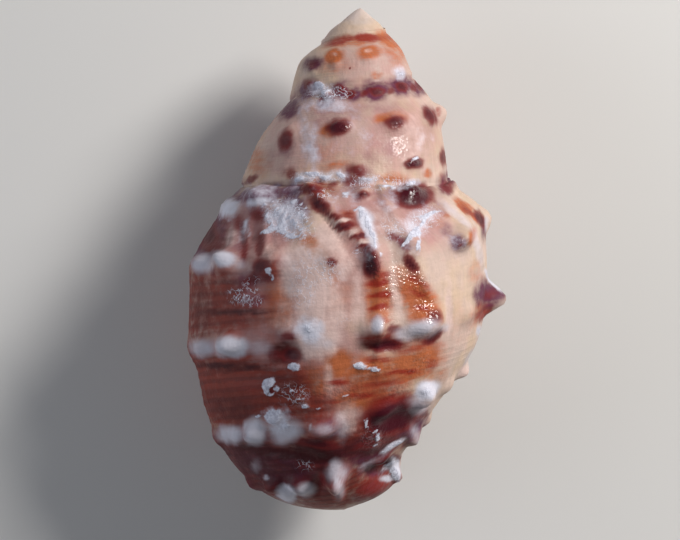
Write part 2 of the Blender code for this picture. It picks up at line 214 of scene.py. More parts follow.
# Dents and swellings on the back: millimetres right of the apex and below it, half width,
# half height, tilt in degrees with the right end up, and height, which is below 0 for a dent.
RELIEF_MARKS = (
    # knobs on the second seam
    (-5.1, 8.0, 0.5, 0.5, 0, 0.2), (-3.3, 8.9, 0.5, 0.4, 0, 0.2), (-2.0, 8.3, 0.6, 0.45, 0, 0.25),
    (1.5, 8.45, 0.8, 0.45, -5, 0.25), (4.1, 8.0, 0.6, 0.5, -25, 0.25), (-2.45, 5.9, 0.5, 0.45, 0, 0.2),
    (0.9, 5.4, 0.7, 0.45, 0, 0.2), (3.2, 5.1, 0.6, 0.45, -20, 0.2), (-4.8, 6.6, 0.5, 0.4, 10, 0.2),
    # the whorl above the last, and the knobs on its lower seam
    (-0.3, 16.5, 0.6, 0.5, 0, 0.3), (5.2, 15.9, 0.7, 0.5, 15, 0.35), (5.2, 18.9, 1.1, 0.75, 0, 0.5),
    (0.2, 19.0, 0.5, 0.3, 5, 0.3), (-4.7, 18.3, 0.7, 0.35, 10, 0.25), (-2.7, 18.0, 0.6, 0.3, 20, 0.2),
    (-4.0, 19.9, 0.7, 0.5, -30, 0.3), (8.7, 17.9, 0.5, 0.6, -30, 0.35),
    # the left shoulder: knobs under the seam, a hollow ramp and its folds
    (-13.2, 19.9, 1.0, 0.9, 0, 0.45), (-10.0, 19.5, 1.1, 0.7, 5, 0.35), (-10.6, 22.7, 3.4, 1.4, 0, -0.65),
    (-12.6, 22.9, 0.5, 1.3, -6, 0.45), (-11.2, 22.3, 0.3, 1.2, -8, 0.3), (-9.5, 22.6, 0.4, 1.4, 3, 0.3),
    (-13.3, 25.1, 0.8, 0.5, -8, 0.35), (-15.6, 25.6, 0.7, 0.6, 0, 0.25), (-7.2, 22.0, 1.6, 1.1, -40, -0.25),
    # the groove beside the smooth slanting band, and the steps of old lips to its right
    (-2.8, 22.1, 0.22, 2.3, 37, -0.35), (-1.7, 21.9, 0.4, 0.2, 0, 0.2), (-0.4, 23.0, 0.4, 0.2, 0, 0.2),
    (1.0, 25.5, 0.5, 1.0, 0, 0.3), (4.85, 25.5, 0.4, 0.8, 35, 0.3), (2.6, 24.4, 0.8, 1.6, 20, -0.3),
    (9.6, 20.8, 1.9, 0.35, -43, 0.3), (11.6, 24.0, 0.35, 1.7, 16, 0.3), (8.9, 30.5, 0.3, 2.6, 0, 0.15),
    (9.6, 23.6, 0.7, 0.65, 0, 0.45), (9.72, 23.8, 0.16, 0.16, 0, -0.45), (7.0, 22.8, 1.2, 1.6, 0, -0.25),
    # nodules, hollows and grooves across the back
    (1.7, 31.6, 0.4, 0.55, 0, 0.25), (5.6, 31.9, 1.2, 0.6, 8, 0.3), (2.3, 33.5, 1.4, 0.5, 0, -0.4),
    (-6.8, 33.9, 0.8, 1.2, 0, -0.35), (-9.9, 27.5, 0.9, 1.1, 20, -0.3), (-12.6, 33.7, 1.0, 0.6, 0, 0.35),
    (-15.4, 33.9, 0.8, 0.6, 0, 0.2), (-12.5, 36.4, 3.0, 0.8, -3, -0.3), (-12.5, 31.2, 2.6, 0.8, 0, -0.2),
    (3.3, 40.7, 1.5, 0.9, 15, -0.45), (6.4, 37.9, 0.65, 0.5, 20, 0.6), (-8.4, 40.7, 0.6, 0.5, 20, 0.3),
    (-8.8, 37.3, 0.4, 0.35, 0, 0.25), (0.1, 35.4, 0.4, 0.3, 0, 0.3), (-3.6, 41.5, 1.0, 0.6, 0, 0.4),
    (-10.5, 42.1, 0.6, 0.7, -12, 0.3), (-13.0, 42.4, 0.6, 0.6, 0, 0.2), (-7.0, 44.1, 3.6, 0.6, -8, -0.5),
    # the end of the shell: a hollow, a crusted ridge and a rounded lobe
    (-2.3, 46.0, 1.0, 0.9, 0, 0.5), (-2.1, 47.5, 0.5, 1.1, 0, 0.6), (1.7, 45.8, 1.3, 0.5, 18, -0.75),
    (3.6, 46.6, 0.35, 1.1, 20, 0.5), (0.9, 47.9, 1.6, 0.8, 22, 0.45), (4.9, 42.7, 0.5, 1.1, 20, 0.35),
    (-7.2, 48.2, 0.6, 0.6, 0, 0.35), (-5.4, 47.7, 0.7, 0.5, 0, 0.3), (-4.1, 47.2, 0.4, 1.0, 0, -0.35),
)

# Marks on the back, as the camera sees them. Each is a tilted oval: millimetres right of the apex
# and below it, half width, half height, tilt in degrees with the right end up, and strength.
# Where ovals of one pigment overlap, the stronger one counts.

# Dark spots, and dark streaks under and between the knobs.
MAROON_MARKS = (
    # the spire
    (-4.8, 5.8, 0.65, 0.4, 10, 0.45), (-1.1, 6.25, 0.1, 0.1, 0, 1.0), (5.8, 7.7, 0.4, 0.7, 20, 0.85),
    (-5.1, 8.0, 0.5, 0.7, 0, 0.6), (4.1, 8.1, 0.6, 0.45, -25, 1.0), (5.2, 8.2, 0.35, 0.4, 0, 0.7),
    (-2.0, 8.4, 0.6, 0.45, 0, 0.85), (1.6, 8.6, 0.75, 0.42, -5, 0.9), (3.0, 8.6, 0.35, 0.4, 0, 0.6),
    (-0.9, 8.9, 0.45, 0.4, 0, 0.85), (0.4, 8.9, 0.4, 0.35, 0, 0.6), (-3.3, 9.4, 0.6, 0.4, 20, 1.0),
    (6.9, 10.85, 0.6, 0.9, 25, 0.9), (3.4, 11.7, 1.0, 0.6, 15, 0.95), (-2.2, 12.2, 1.1, 0.75, 12, 1.1),
    (-7.3, 13.35, 0.7, 1.1, -20, 0.85), (8.25, 15.0, 0.45, 0.9, 0, 0.85),
    (5.2, 15.8, 0.95, 0.55, 15, 1.1),
    # the third seam and the shoulder
    (-0.3, 16.5, 0.9, 0.7, -10, 0.75), (-6.8, 16.9, 0.8, 0.6, -30, 0.6), (-10.7, 17.2, 0.7, 0.3, 25, 0.7),
    (-1.0, 17.5, 0.7, 0.5, 0, 0.6), (-2.7, 18.0, 0.8, 0.35, 20, 0.6), (8.6, 18.0, 0.7, 0.7, -30, 0.65),
    (-4.7, 18.3, 1.1, 0.5, 10, 0.8), (5.2, 18.9, 1.7, 1.1, 0, 1.5), (0.2, 19.0, 0.7, 0.38, 5, 1.1),
    (-4.0, 19.9, 1.1, 0.65, -30, 1.1), (-1.2, 20.7, 0.5, 0.3, 0, 0.5), (-2.7, 20.9, 0.8, 0.36, -10, 0.9),
    (-10.0, 21.0, 0.8, 0.7, 0, 0.75), (11.9, 21.1, 0.5, 0.8, 25, 1.0), (-11.9, 21.6, 0.5, 0.9, 0, 0.55),
    # (-15.4, 22.4) and (-13.9, 24.0), below, are painted shade at the far left edge of the shoulder, where
    # the surface turns away.
    (-1.7, 22.0, 1.1, 0.34, 8, 1.05), (-15.4, 22.4, 1.2, 1.9, 30, 0.95), (-0.2, 22.95, 0.9, 0.3, 5, 1.05),
    # (9.72, 23.8), below, is painted shade in the pit of the ringed knob.
    (3.4, 23.1, 0.9, 0.35, -35, 0.6), (-9.8, 23.8, 0.5, 1.6, -5, 0.65), (9.72, 23.8, 0.13, 0.13, 0, 1.1),
    (-13.9, 24.0, 0.5, 0.5, 0, 0.5), (4.3, 24.0, 0.6, 0.35, -40, 0.6), (0.6, 24.1, 0.9, 0.36, -15, 1.0),
    (-11.3, 24.3, 0.35, 1.3, -5, 0.75),
    # the middle of the back
    (-2.8, 25.45, 0.5, 0.45, 0, 0.95), (1.0, 25.5, 0.7, 1.4, 0, 1.2), (4.85, 25.5, 0.55, 1.0, 35, 1.1),
    (-9.7, 25.8, 0.8, 0.7, 30, 0.9), (-14.4, 26.3, 0.35, 0.6, 0, 0.6), (-10.3, 26.8, 1.1, 0.6, 35, 0.75),
    (-9.1, 26.9, 0.7, 0.5, 0, 0.8), (-11.2, 27.6, 0.9, 0.5, 20, 0.6), (13.0, 28.6, 1.0, 0.5, 25, 0.5),
    (7.1, 30.8, 0.7, 0.8, -30, 0.7), (3.2, 31.9, 0.8, 0.5, 0, 0.75), (-6.9, 32.5, 0.8, 0.5, 0, 0.7),
    (7.1, 32.7, 1.2, 0.4, 35, 0.9), (2.3, 33.4, 1.7, 0.6, 0, 1.2), (-8.3, 34.3, 0.9, 0.5, 0, 0.7),
    (-6.7, 34.3, 0.9, 0.7, 0, 1.0),
    # the lower back and the end
    (-8.75, 37.9, 0.3, 0.25, 0, 1.1), (6.3, 40.4, 0.35, 0.5, -30, 0.9), (-8.6, 40.55, 0.18, 0.18, 0, 1.0),
    (3.0, 40.6, 2.3, 1.4, 15, 1.6), (-9.35, 42.2, 0.4, 0.8, 0, 0.8), (-4.3, 43.0, 1.9, 0.5, -5, 1.0),
    (1.0, 43.2, 1.6, 0.4, 10, 0.8), (2.6, 44.9, 1.3, 0.4, 10, 1.1), (-1.5, 45.7, 0.6, 0.8, 0, 0.7),
    (-3.9, 46.9, 0.5, 0.9, 0, 0.7),
)
# Deep brown: painted shade in the grooves and dents, and the dark lower end.
UMBER_MARKS = (
    # the third seam and the shoulder
    # The first mark lies at the far left edge of the shoulder, where the surface turns away, and is painted
    # shade.
    (-14.9, 23.4, 0.9, 1.6, 15, 1.0), (-10.7, 24.4, 0.5, 1.8, -6, 0.5),
    # the middle of the back
    (-6.2, 26.0, 0.9, 0.6, 0, 0.3), (-9.8, 26.2, 1.1, 0.9, 30, 0.5), (-12.6, 27.3, 4.2, 0.28, 0, 0.55),
    (-12.5, 28.8, 4.2, 0.25, 0, 0.45), (-15.6, 30.0, 1.2, 3.0, 0, 0.5), (-12.4, 30.2, 4.4, 0.35, 0, 0.8),
    (2.3, 33.5, 2.0, 0.7, 0, 0.7), (-7.2, 34.2, 1.7, 1.1, 0, 1.0), (-12.8, 35.6, 4.0, 0.4, 0, 0.9),
    # the lower back and the end
    (-7.5, 37.2, 3.0, 0.9, 0, 0.55), (4.6, 38.9, 1.6, 0.5, 20, 0.5), (-12.5, 39.8, 3.0, 1.7, -12, 0.6),
    (3.2, 40.4, 2.4, 1.5, 15, 1.1), (-6.6, 41.9, 2.0, 0.5, 0, 0.6), (-1.6, 42.6, 1.8, 0.5, 0, 0.7),
    (0.6, 43.4, 3.6, 1.1, 8, 0.9), (-4.4, 44.0, 3.4, 1.3, -4, 1.1), (-8.2, 44.1, 6.2, 0.7, -5, 1.0),
    (-13.8, 44.6, 1.6, 1.6, -40, 0.7), (2.3, 45.3, 1.7, 0.7, 20, 1.1), (-3.2, 45.6, 1.3, 1.5, 0, 0.8),
    (-9.0, 46.0, 6.0, 2.4, -25, 0.7), (2.2, 48.7, 2.8, 1.2, 10, 0.5),
)
# Red streaks along the spiral.
RED_MARKS = (
    # the spire
    (2.6, 3.05, 1.0, 0.3, 0, 0.6), (0.6, 3.15, 1.5, 0.5, 0, 1.4), (-1.9, 3.4, 1.9, 0.45, 14, 1.1),
    (7.85, 10.4, 0.35, 0.5, 0, 0.9),
    # the middle of the back
    (2.2, 26.6, 0.8, 0.3, 0, 1.0), (4.9, 26.7, 0.8, 0.5, 20, 0.8), (5.2, 27.2, 1.0, 0.3, -25, 1.0),
    (1.7, 27.4, 1.2, 0.36, 6, 1.4), (6.3, 27.8, 0.9, 0.4, -40, 0.7), (-11.6, 28.3, 1.2, 0.25, 0, 0.4),
    (5.6, 28.5, 1.1, 0.3, -25, 1.0), (1.9, 28.6, 1.2, 0.34, 8, 1.4), (1.8, 29.8, 1.2, 0.32, 8, 1.3),
    (5.9, 29.9, 1.1, 0.32, -18, 1.1), (12.3, 30.8, 0.7, 0.6, 40, 0.5), (2.0, 31.0, 1.2, 0.3, 0, 0.8),
    (1.0, 33.0, 1.4, 0.4, 0, 0.7), (4.9, 34.0, 1.6, 0.3, 10, 0.7), (1.6, 34.9, 1.6, 0.3, 0, 0.9),
    (6.9, 35.4, 0.7, 0.7, 0, 0.7), (4.0, 36.1, 1.8, 0.28, 5, 1.1),
    # the lower back and the end
    (-2.2, 37.0, 1.2, 0.34, 0, 1.1), (2.4, 37.2, 2.0, 0.25, 6, 0.8), (-10.2, 37.6, 2.2, 0.8, 0, 0.5),
    (0.1, 38.3, 1.6, 0.28, 6, 1.0), (-5.9, 38.6, 1.2, 0.3, 0, 0.5), (-2.6, 38.9, 1.0, 0.28, 5, 0.8),
    (2.6, 38.9, 2.0, 0.6, 12, 0.9), (1.1, 47.7, 2.6, 1.2, 22, 0.75),
)
# Orange rings, halos and zones.
ORANGE_MARKS = (
    # the spire
    (3.0, 3.3, 1.5, 0.8, -20, 1.2), (-0.5, 3.6, 3.4, 0.6, 6, 0.7), (4.0, 4.3, 1.1, 1.7, -15, 0.7),
    (3.2, 4.4, 1.3, 0.8, -20, 0.65), (0.9, 4.65, 1.4, 0.7, 10, 1.0), (-2.5, 5.05, 1.0, 0.9, 20, 1.15),
    (-2.6, 6.0, 1.9, 1.2, 0, 0.5), (1.6, 7.0, 0.6, 0.35, 0, 0.8), (4.0, 11.1, 1.0, 0.5, -20, 0.6),
    (2.4, 11.3, 1.2, 0.55, 20, 0.9), (-3.3, 12.6, 0.8, 0.7, 0, 0.9), (-3.0, 14.6, 1.5, 1.4, 0, 0.4),
    (-10.3, 15.4, 1.3, 2.0, 30, 0.6), (-2.4, 16.0, 1.6, 0.5, 10, 0.7),
    # the third seam and the shoulder
    (6.7, 16.7, 0.5, 0.45, 0, 0.9), (3.1, 17.4, 1.5, 0.7, 0, 0.8), (8.3, 17.4, 0.6, 0.9, 0, 0.6),
    (-4.6, 18.2, 1.6, 0.8, 0, 0.8), (10.3, 20.0, 1.3, 0.5, -38, 1.2), (-1.3, 20.7, 0.7, 0.5, 0, 0.7),
    (8.2, 20.8, 0.6, 0.3, -25, 0.8), (11.4, 21.0, 0.9, 0.5, -38, 1.2), (7.4, 21.6, 0.8, 0.7, 0, 0.5),
    (-2.5, 22.6, 1.6, 2.6, 37, 0.35), (10.9, 23.0, 0.45, 0.9, -10, 1.2), (-5.0, 23.5, 1.1, 0.9, -30, 0.9),
    (-8.8, 24.3, 1.3, 0.8, 0, 0.4),
    # the middle of the back
    (11.3, 26.3, 0.8, 1.3, -15, 0.5), (-2.4, 27.0, 0.8, 0.5, 0, 0.7), (-2.2, 28.5, 1.4, 2.0, 0, 0.5),
    (1.7, 28.8, 1.4, 2.8, 5, 1.0), (5.6, 29.2, 1.6, 3.2, 28, 1.3), (-7.8, 29.6, 1.7, 3.0, 0, 0.9),
    (-13.2, 30.0, 1.6, 2.0, 0, 0.35), (12.2, 30.2, 0.8, 1.1, 35, 1.1), (-10.5, 30.6, 2.5, 1.4, 0, 0.5),
    (11.0, 31.0, 0.7, 1.4, 0, 0.4), (9.6, 31.5, 1.4, 3.0, 0, 0.25), (-2.2, 35.2, 1.5, 1.4, 0, 1.3),
    (5.0, 35.4, 3.2, 1.7, 25, 1.15), (1.0, 36.2, 3.2, 1.9, 5, 1.1), (7.4, 36.6, 1.6, 0.9, 40, 0.6),
    # the lower back and the end
    (-4.6, 37.0, 1.9, 1.9, 0, 0.9), (0.5, 38.4, 3.6, 1.5, 5, 1.0), (-2.5, 49.0, 2.0, 0.8, 0, 0.9),
)
# Red-brown zones.
BROWN_MARKS = (
    # the third seam and the shoulder
    (-3.4, 18.6, 1.6, 0.8, 0, 0.7), (5.2, 18.9, 2.2, 1.3, 0, 0.6), (10.9, 20.6, 1.6, 0.4, -38, 0.7),
    # (-14.6, 22.6), below, is painted shade at the far left edge of the shoulder, where the surface turns
    # away.
    (-0.9, 21.6, 1.8, 1.0, -45, 0.7), (-11.5, 22.5, 2.6, 2.8, 10, 0.4), (-14.6, 22.6, 2.2, 2.6, 10, 1.1),
    (-8.0, 24.2, 1.6, 1.2, 0, 0.2),
    # the middle of the back
    (-9.3, 26.2, 1.8, 1.6, 20, 1.0), (12.0, 27.2, 0.9, 0.8, 0, 0.4), (3.6, 28.0, 2.6, 2.0, -10, 0.35),
    (-13.0, 29.4, 4.0, 3.4, 0, 1.05), (-16.4, 29.5, 2.2, 4.8, 0, 1.0), (-9.6, 30.0, 2.2, 2.8, 0, 0.6),
    (-9.8, 30.4, 2.2, 2.6, 0, 0.45), (12.3, 30.4, 1.4, 0.7, 35, 1.0), (-14.2, 30.6, 3.0, 2.6, 0, 0.9),
    (-8.2, 32.6, 1.8, 1.2, 0, 0.5), (6.2, 32.9, 1.5, 0.8, 20, 0.6), (2.5, 33.2, 2.6, 1.1, 0, 1.0),
    (-7.4, 34.3, 1.8, 1.2, 0, 0.9), (-4.3, 34.4, 1.0, 0.8, 0, 0.4),
    # the lower back and the end
    (-16.6, 37.0, 2.6, 4.0, 0, 1.2), (1.0, 37.4, 4.0, 1.6, 5, 0.55), (-12.8, 38.0, 4.4, 4.2, -10, 1.45),
    (-8.0, 38.2, 3.8, 3.8, 0, 1.15), (-4.8, 39.8, 2.6, 2.2, 0, 0.9), (3.2, 40.2, 3.0, 2.2, 10, 1.2),
    (0.5, 42.8, 4.2, 2.4, 10, 1.3), (-4.5, 45.2, 3.6, 2.8, 0, 1.4), (-9.5, 45.3, 6.5, 3.4, -25, 1.5),
    (1.4, 45.6, 2.6, 1.2, 20, 1.0), (-1.8, 46.8, 2.6, 1.8, 0, 1.1), (1.6, 47.6, 3.0, 1.5, 20, 1.2),
    (-3.6, 48.6, 3.0, 1.4, 0, 1.2),
)
# Violet at the seams and on the spines, and in the hollows, where it is partly painted shade.
VIOLET_MARKS = (
    # the spire
    (-4.8, 5.8, 1.1, 0.7, 10, 1.0), (4.0, 6.9, 0.6, 0.6, 0, 0.8), (4.1, 8.0, 1.3, 1.1, 10, 1.1),
    (5.9, 8.0, 0.9, 1.0, -30, 1.0), (2.4, 8.3, 3.6, 0.9, 6, 0.6), (-5.0, 8.5, 1.3, 1.1, 20, 1.1),
    (-1.9, 8.5, 1.3, 1.0, 10, 1.0), (1.5, 8.6, 1.5, 1.1, 5, 1.1), (-2.6, 8.8, 4.4, 1.0, 4, 0.6),
    (-0.6, 8.9, 0.9, 0.9, 0, 0.9), (-3.4, 9.6, 1.0, 0.7, 20, 1.0), (-7.0, 10.2, 1.3, 0.9, 40, 1.1),
    (2.0, 10.2, 3.0, 0.7, 5, 0.35), (6.9, 10.85, 0.9, 1.1, 25, 0.6), (-2.6, 10.9, 3.4, 1.0, 0, 0.4),
    (-3.8, 11.4, 1.4, 1.0, 20, 0.35), (6.4, 12.9, 1.2, 1.4, 0, 0.3), (-7.3, 14.2, 0.8, 1.4, -15, 0.6),
    (2.8, 14.2, 0.8, 1.4, 0, 0.3), (-4.6, 14.6, 1.0, 1.6, 0, 0.35), (0.8, 15.4, 1.2, 1.0, 0, 0.35),
    (-8.4, 15.6, 1.4, 1.6, 20, 0.35),
    # the third seam and the shoulder
    (-0.6, 17.2, 1.6, 1.3, 20, 0.7), (8.6, 17.6, 0.9, 1.5, -25, 0.9), (-13.0, 18.4, 1.8, 0.8, 30, 1.2),
    (-9.0, 18.7, 4.4, 0.9, 5, 1.2), (2.4, 18.8, 1.5, 0.8, 0, 0.6), (5.2, 18.9, 2.0, 1.4, 0, 0.6),
    (-6.7, 19.8, 2.2, 1.1, -35, 1.2), (7.6, 20.0, 1.4, 0.8, -35, 0.45), (-6.4, 20.2, 1.5, 1.0, -40, 0.7),
    # (-15.0, 21.8) and (-16.0, 23.6), below, are painted shade, a dim purple, at the far left edge of the
    # shoulder.
    (-9.6, 20.6, 2.0, 1.0, 0, 0.7), (2.6, 20.6, 1.0, 0.8, 0, 0.35), (-15.0, 21.8, 1.8, 2.8, 20, 1.0),
    (-11.6, 21.8, 2.6, 2.4, 10, 0.45), (12.2, 22.2, 0.4, 1.2, 0, 0.8), (8.4, 22.4, 0.9, 0.7, -30, 0.6),
    (-12.2, 23.2, 1.6, 1.8, 0, 0.6), (3.6, 23.4, 1.4, 0.6, -40, 0.9), (-16.0, 23.6, 1.4, 2.2, 20, 1.0),
    (9.5, 23.6, 0.95, 0.85, 0, 0.9), (0.2, 24.0, 1.0, 0.6, -20, 0.7),
    # the middle of the back
    (-10.6, 26.8, 1.6, 1.3, 30, 0.8), (13.0, 28.4, 1.9, 1.3, 20, 1.3), (-10.2, 29.0, 1.4, 0.9, 0, 0.5),
    (-7.0, 32.3, 1.4, 1.0, 0, 0.7),
    # the lower back and the end
    (-2.8, 41.5, 1.8, 1.1, 0, 0.7), (5.0, 41.6, 1.8, 1.8, 30, 1.0), (0.9, 43.5, 3.0, 1.3, 8, 0.7),
    (-3.6, 44.2, 3.4, 1.2, -4, 0.8), (0.6, 44.6, 2.6, 0.9, 8, 0.8), (-8.5, 45.6, 5.4, 2.2, -20, 0.85),
    (2.0, 45.6, 1.9, 0.8, 20, 1.1), (-3.8, 46.4, 1.2, 1.2, 0, 0.6), (-11.0, 47.0, 3.0, 1.4, -40, 0.5),
    (1.0, 48.0, 2.2, 0.9, 22, 0.55),
)
# Pinkish patches of the ground colour.
ROSE_MARKS = (
    # the spire
    (0.0, 5.6, 3.0, 1.2, 0, 0.4), (1.0, 6.0, 5.0, 3.0, 0, 0.5), (2.0, 6.0, 3.5, 2.0, 0, 0.5),
    (-2.5, 10.3, 4.5, 1.1, 0, 0.7), (-6.5, 12.0, 2.4, 4.0, 10, 0.5), (3.5, 13.0, 4.5, 4.0, 0, 0.75),
    (-3.0, 13.5, 8.0, 5.5, 0, 0.55), (-0.5, 14.5, 1.6, 2.4, 0, 0.35), (-4.5, 15.8, 4.0, 1.6, 0, 0.5),
    # the third seam and the shoulder
    (0.5, 20.5, 4.0, 2.6, -20, 0.9), (5.5, 21.3, 3.6, 2.6, -30, 0.85), (-12.4, 21.6, 3.4, 2.6, 0, 0.8),
    (7.6, 22.4, 1.8, 1.4, 0, 0.4), (-10.5, 22.8, 4.4, 3.2, 0, 1.1), (8.6, 22.8, 2.2, 2.0, 0, 0.35),
    # the middle of the back
    (-1.0, 26.5, 4.0, 5.5, 0, 0.8), (-8.5, 29.5, 6.5, 6.0, 0, 1.1), (6.0, 33.0, 2.5, 2.5, 0, 0.5),
    (-7.5, 34.0, 8.0, 4.5, 0, 1.1),
    # the lower back and the end
    (-2.0, 40.6, 4.5, 3.6, 0, 1.1),
)
# Worn white knobs and edges.
WHITE_MARKS = (
    # the spire
    (0.0, 0.9, 1.7, 1.4, 0, 0.42), (0.0, 2.3, 2.0, 0.5, 5, 0.25), (4.0, 6.9, 0.6, 0.7, 0, 0.5),
    # the third seam and the shoulder
    # (9.4, 20.8), below, is partly the ridge's own pale colour and partly a painted highlight along its lit
    # crest on the right shoulder.
    (-10.1, 19.5, 1.2, 0.45, 5, 0.85), (-13.1, 20.0, 1.2, 1.0, 0, 0.95), (9.4, 20.8, 2.6, 0.5, -43, 0.5),
    (0.5, 21.3, 1.1, 0.8, -70, 0.9), (12.6, 21.6, 0.3, 0.9, 0, 0.6), (-11.3, 21.7, 0.25, 0.6, -10, 0.8),
    (-10.8, 22.9, 0.25, 0.5, -10, 0.6), (1.1, 22.9, 1.1, 0.45, -73, 0.8), (11.6, 24.2, 0.5, 2.4, 16, 0.5),
    # the middle of the back
    (-13.3, 25.1, 1.25, 0.75, -8, 1.2), (-7.0, 25.4, 1.1, 1.1, 0, 0.3), (-15.6, 25.6, 1.2, 1.0, 0, 0.9),
    (-11.9, 25.6, 0.9, 0.6, 0, 0.5), (13.2, 27.2, 1.3, 0.35, -52, 1.3), (-5.4, 28.0, 0.8, 2.0, 0, 0.25),
    (1.6, 31.5, 0.65, 0.85, 0, 1.0), (-5.2, 31.8, 1.4, 1.1, 0, 0.7), (5.9, 31.8, 1.9, 0.85, 8, 0.85),
    (8.1, 31.8, 0.5, 0.5, 0, 0.6), (11.7, 32.1, 0.35, 0.6, 0, 0.9), (4.2, 32.4, 1.1, 0.8, 0, 0.7),
    (-4.0, 33.2, 1.6, 0.8, 0, 0.5), (-12.6, 33.7, 1.7, 1.0, 0, 1.2), (-9.9, 33.7, 1.6, 0.8, 0, 0.5),
    (-15.6, 33.9, 1.5, 1.0, 0, 0.75), (11.2, 34.8, 0.6, 0.8, 0, 0.7), (11.0, 35.2, 0.9, 0.9, 0, 0.5),
    # the lower back and the end
    (6.5, 37.9, 1.2, 0.85, 20, 1.3), (5.7, 39.3, 1.1, 1.2, 25, 0.6), (-7.8, 40.9, 1.0, 0.8, 20, 0.8),
    (-4.8, 41.3, 0.25, 0.25, 0, 1.0), (-1.9, 41.4, 0.8, 1.6, 5, 0.45), (-3.5, 41.6, 1.3, 0.7, 0, 0.5),
    (-7.3, 41.9, 1.6, 1.2, 20, 0.85), (-10.3, 42.0, 1.15, 1.3, -12, 1.1), (5.4, 42.3, 0.6, 1.3, 20, 0.5),
    (-12.9, 42.4, 1.5, 0.95, 8, 0.85), (3.2, 43.4, 1.2, 0.25, 28, 1.2), (1.0, 45.2, 1.5, 0.4, 30, 0.4),
    (-2.4, 45.4, 0.9, 0.9, 0, 0.7), (-10.3, 45.5, 0.6, 0.9, 0, 0.35), (3.0, 45.6, 1.1, 0.3, 25, 0.7),
    (-2.3, 45.9, 1.3, 1.1, 0, 0.6), (3.5, 45.9, 0.5, 1.2, 15, 1.2), (-9.3, 46.7, 0.35, 0.25, 0, 0.8),
    (2.7, 46.9, 0.9, 0.3, -6, 1.0), (-2.2, 47.0, 0.35, 1.1, 10, 0.7), (-2.1, 47.5, 0.6, 1.2, 0, 0.6),
    (-5.4, 47.8, 1.1, 0.8, 0, 0.8), (-7.2, 48.3, 1.0, 0.95, 0, 1.1),
)
# The pale swelling and its pale stripes.
PALE_MARKS = (
    # the spire
    (0.9, 4.6, 0.4, 0.2, 10, 0.45), (-2.4, 4.95, 0.26, 0.22, 20, 0.45), (5.2, 13.6, 1.8, 2.6, 0, 0.6),
    # the third seam and the shoulder
    # (9.5, 20.9), below, is partly the ridge's own pale colour and partly a painted highlight along its lit
    # crest.
    (9.5, 20.9, 2.3, 0.5, -43, 0.5), (-2.0, 21.4, 0.9, 0.2, 0, 1.2), (2.4, 21.5, 2.2, 1.3, -25, 0.6),
    (-10.6, 22.4, 3.0, 2.0, 0, 0.3), (-1.0, 22.45, 1.0, 0.2, 6, 1.2), (-12.7, 23.1, 0.7, 1.4, -10, 0.6),
    (-3.0, 23.2, 1.1, 2.9, 37, 0.9), (0.2, 23.5, 0.9, 0.24, -5, 1.2), (11.6, 24.2, 0.6, 2.2, 16, 0.5),
    # the middle of the back
    (-9.4, 24.6, 1.6, 1.0, 20, 0.6), (-6.0, 25.2, 1.6, 2.0, -25, 0.9), (-10.8, 26.0, 1.8, 1.0, 0, 0.5),
    (-1.6, 26.0, 1.2, 1.6, -30, 0.7), (-5.0, 26.6, 1.2, 1.6, 0, 0.9), (-6.3, 27.2, 1.5, 2.6, 10, 0.95),
    (-4.6, 28.6, 1.9, 4.2, -6, 1.2), (3.5, 28.9, 0.5, 2.6, 12, 0.8), (-5.6, 29.0, 2.4, 5.4, 6, 0.5),
    (-0.3, 29.6, 0.8, 3.6, 0, 0.7), (8.6, 30.0, 0.4, 3.2, 0, 0.9), (-2.6, 30.2, 1.4, 3.0, 0, 0.8),
    (-6.6, 31.6, 1.8, 1.2, 0, 0.7), (-4.2, 32.3, 2.6, 1.6, 0, 1.0), (-4.2, 33.0, 2.4, 1.9, 0, 1.05),
    (10.5, 36.4, 0.9, 0.8, 0, 1.0), (-3.2, 36.6, 0.5, 1.8, 8, 0.6),
    # the lower back and the end
    (-1.2, 40.6, 1.2, 1.8, 0, 0.6),
)
# Thin whitish bloom.
VEIL_MARKS = (
    # the spire
    (3.9, 6.7, 0.7, 0.8, 0, 0.9), (-3.9, 8.5, 1.7, 0.9, 0, 0.9), (-3.0, 10.1, 3.0, 0.9, -8, 0.8),
    (0.0, 12.6, 1.4, 1.6, 0, 0.45), (6.2, 13.4, 1.2, 1.8, 0, 0.3), (-5.0, 13.6, 0.9, 4.0, 8, 0.75),
    (-2.0, 14.6, 1.6, 1.2, 0, 0.35),
    # the third seam and the shoulder
    (-2.6, 17.1, 1.6, 0.6, -4, 1.0), (-5.4, 17.2, 1.5, 0.5, 8, 1.0), (0.6, 17.5, 1.6, 0.35, 4, 0.8),
    (5.2, 17.6, 0.9, 0.4, 15, 0.9), (3.4, 18.0, 1.6, 0.5, -8, 0.9), (-9.4, 18.4, 3.6, 0.9, -4, 0.7),
    (-1.4, 19.3, 2.2, 1.2, 0, 0.5), (-10.0, 19.6, 1.6, 0.7, 0, 0.8), (2.4, 19.6, 1.4, 1.4, 0, 0.5),
    (-13.2, 20.0, 1.4, 1.2, 0, 0.9), (-7.2, 20.9, 2.6, 1.7, -38, 1.2), (5.6, 21.6, 2.4, 1.4, 30, 0.9),
    (-11.2, 22.2, 0.6, 1.8, -6, 0.6), (0.8, 22.3, 2.3, 0.65, -73, 1.35), (9.6, 23.6, 1.6, 1.4, 0, 0.4),
    (4.3, 24.3, 1.2, 0.8, 0, 0.5), (0.4, 24.5, 1.4, 0.9, 0, 0.5),
    # the middle of the back
    (-4.6, 24.6, 1.8, 1.2, -30, 0.4), (-3.2, 26.2, 2.2, 1.6, -30, 0.4), (-5.6, 28.0, 1.2, 3.4, 6, 0.45),
    (-11.2, 28.6, 1.6, 1.1, 0, 0.5), (-5.0, 31.9, 1.4, 1.1, 0, 1.4),
    # the lower back and the end
    (6.5, 37.9, 1.3, 1.0, 20, 0.8), (-8.2, 40.9, 1.6, 1.4, 20, 0.8), (5.3, 42.6, 0.7, 1.6, 20, 0.3),
    (1.0, 45.0, 1.8, 0.3, 25, 0.35), (3.6, 46.4, 0.6, 1.4, 20, 0.6), (-7.2, 48.3, 1.3, 1.2, 0, 0.5),
)
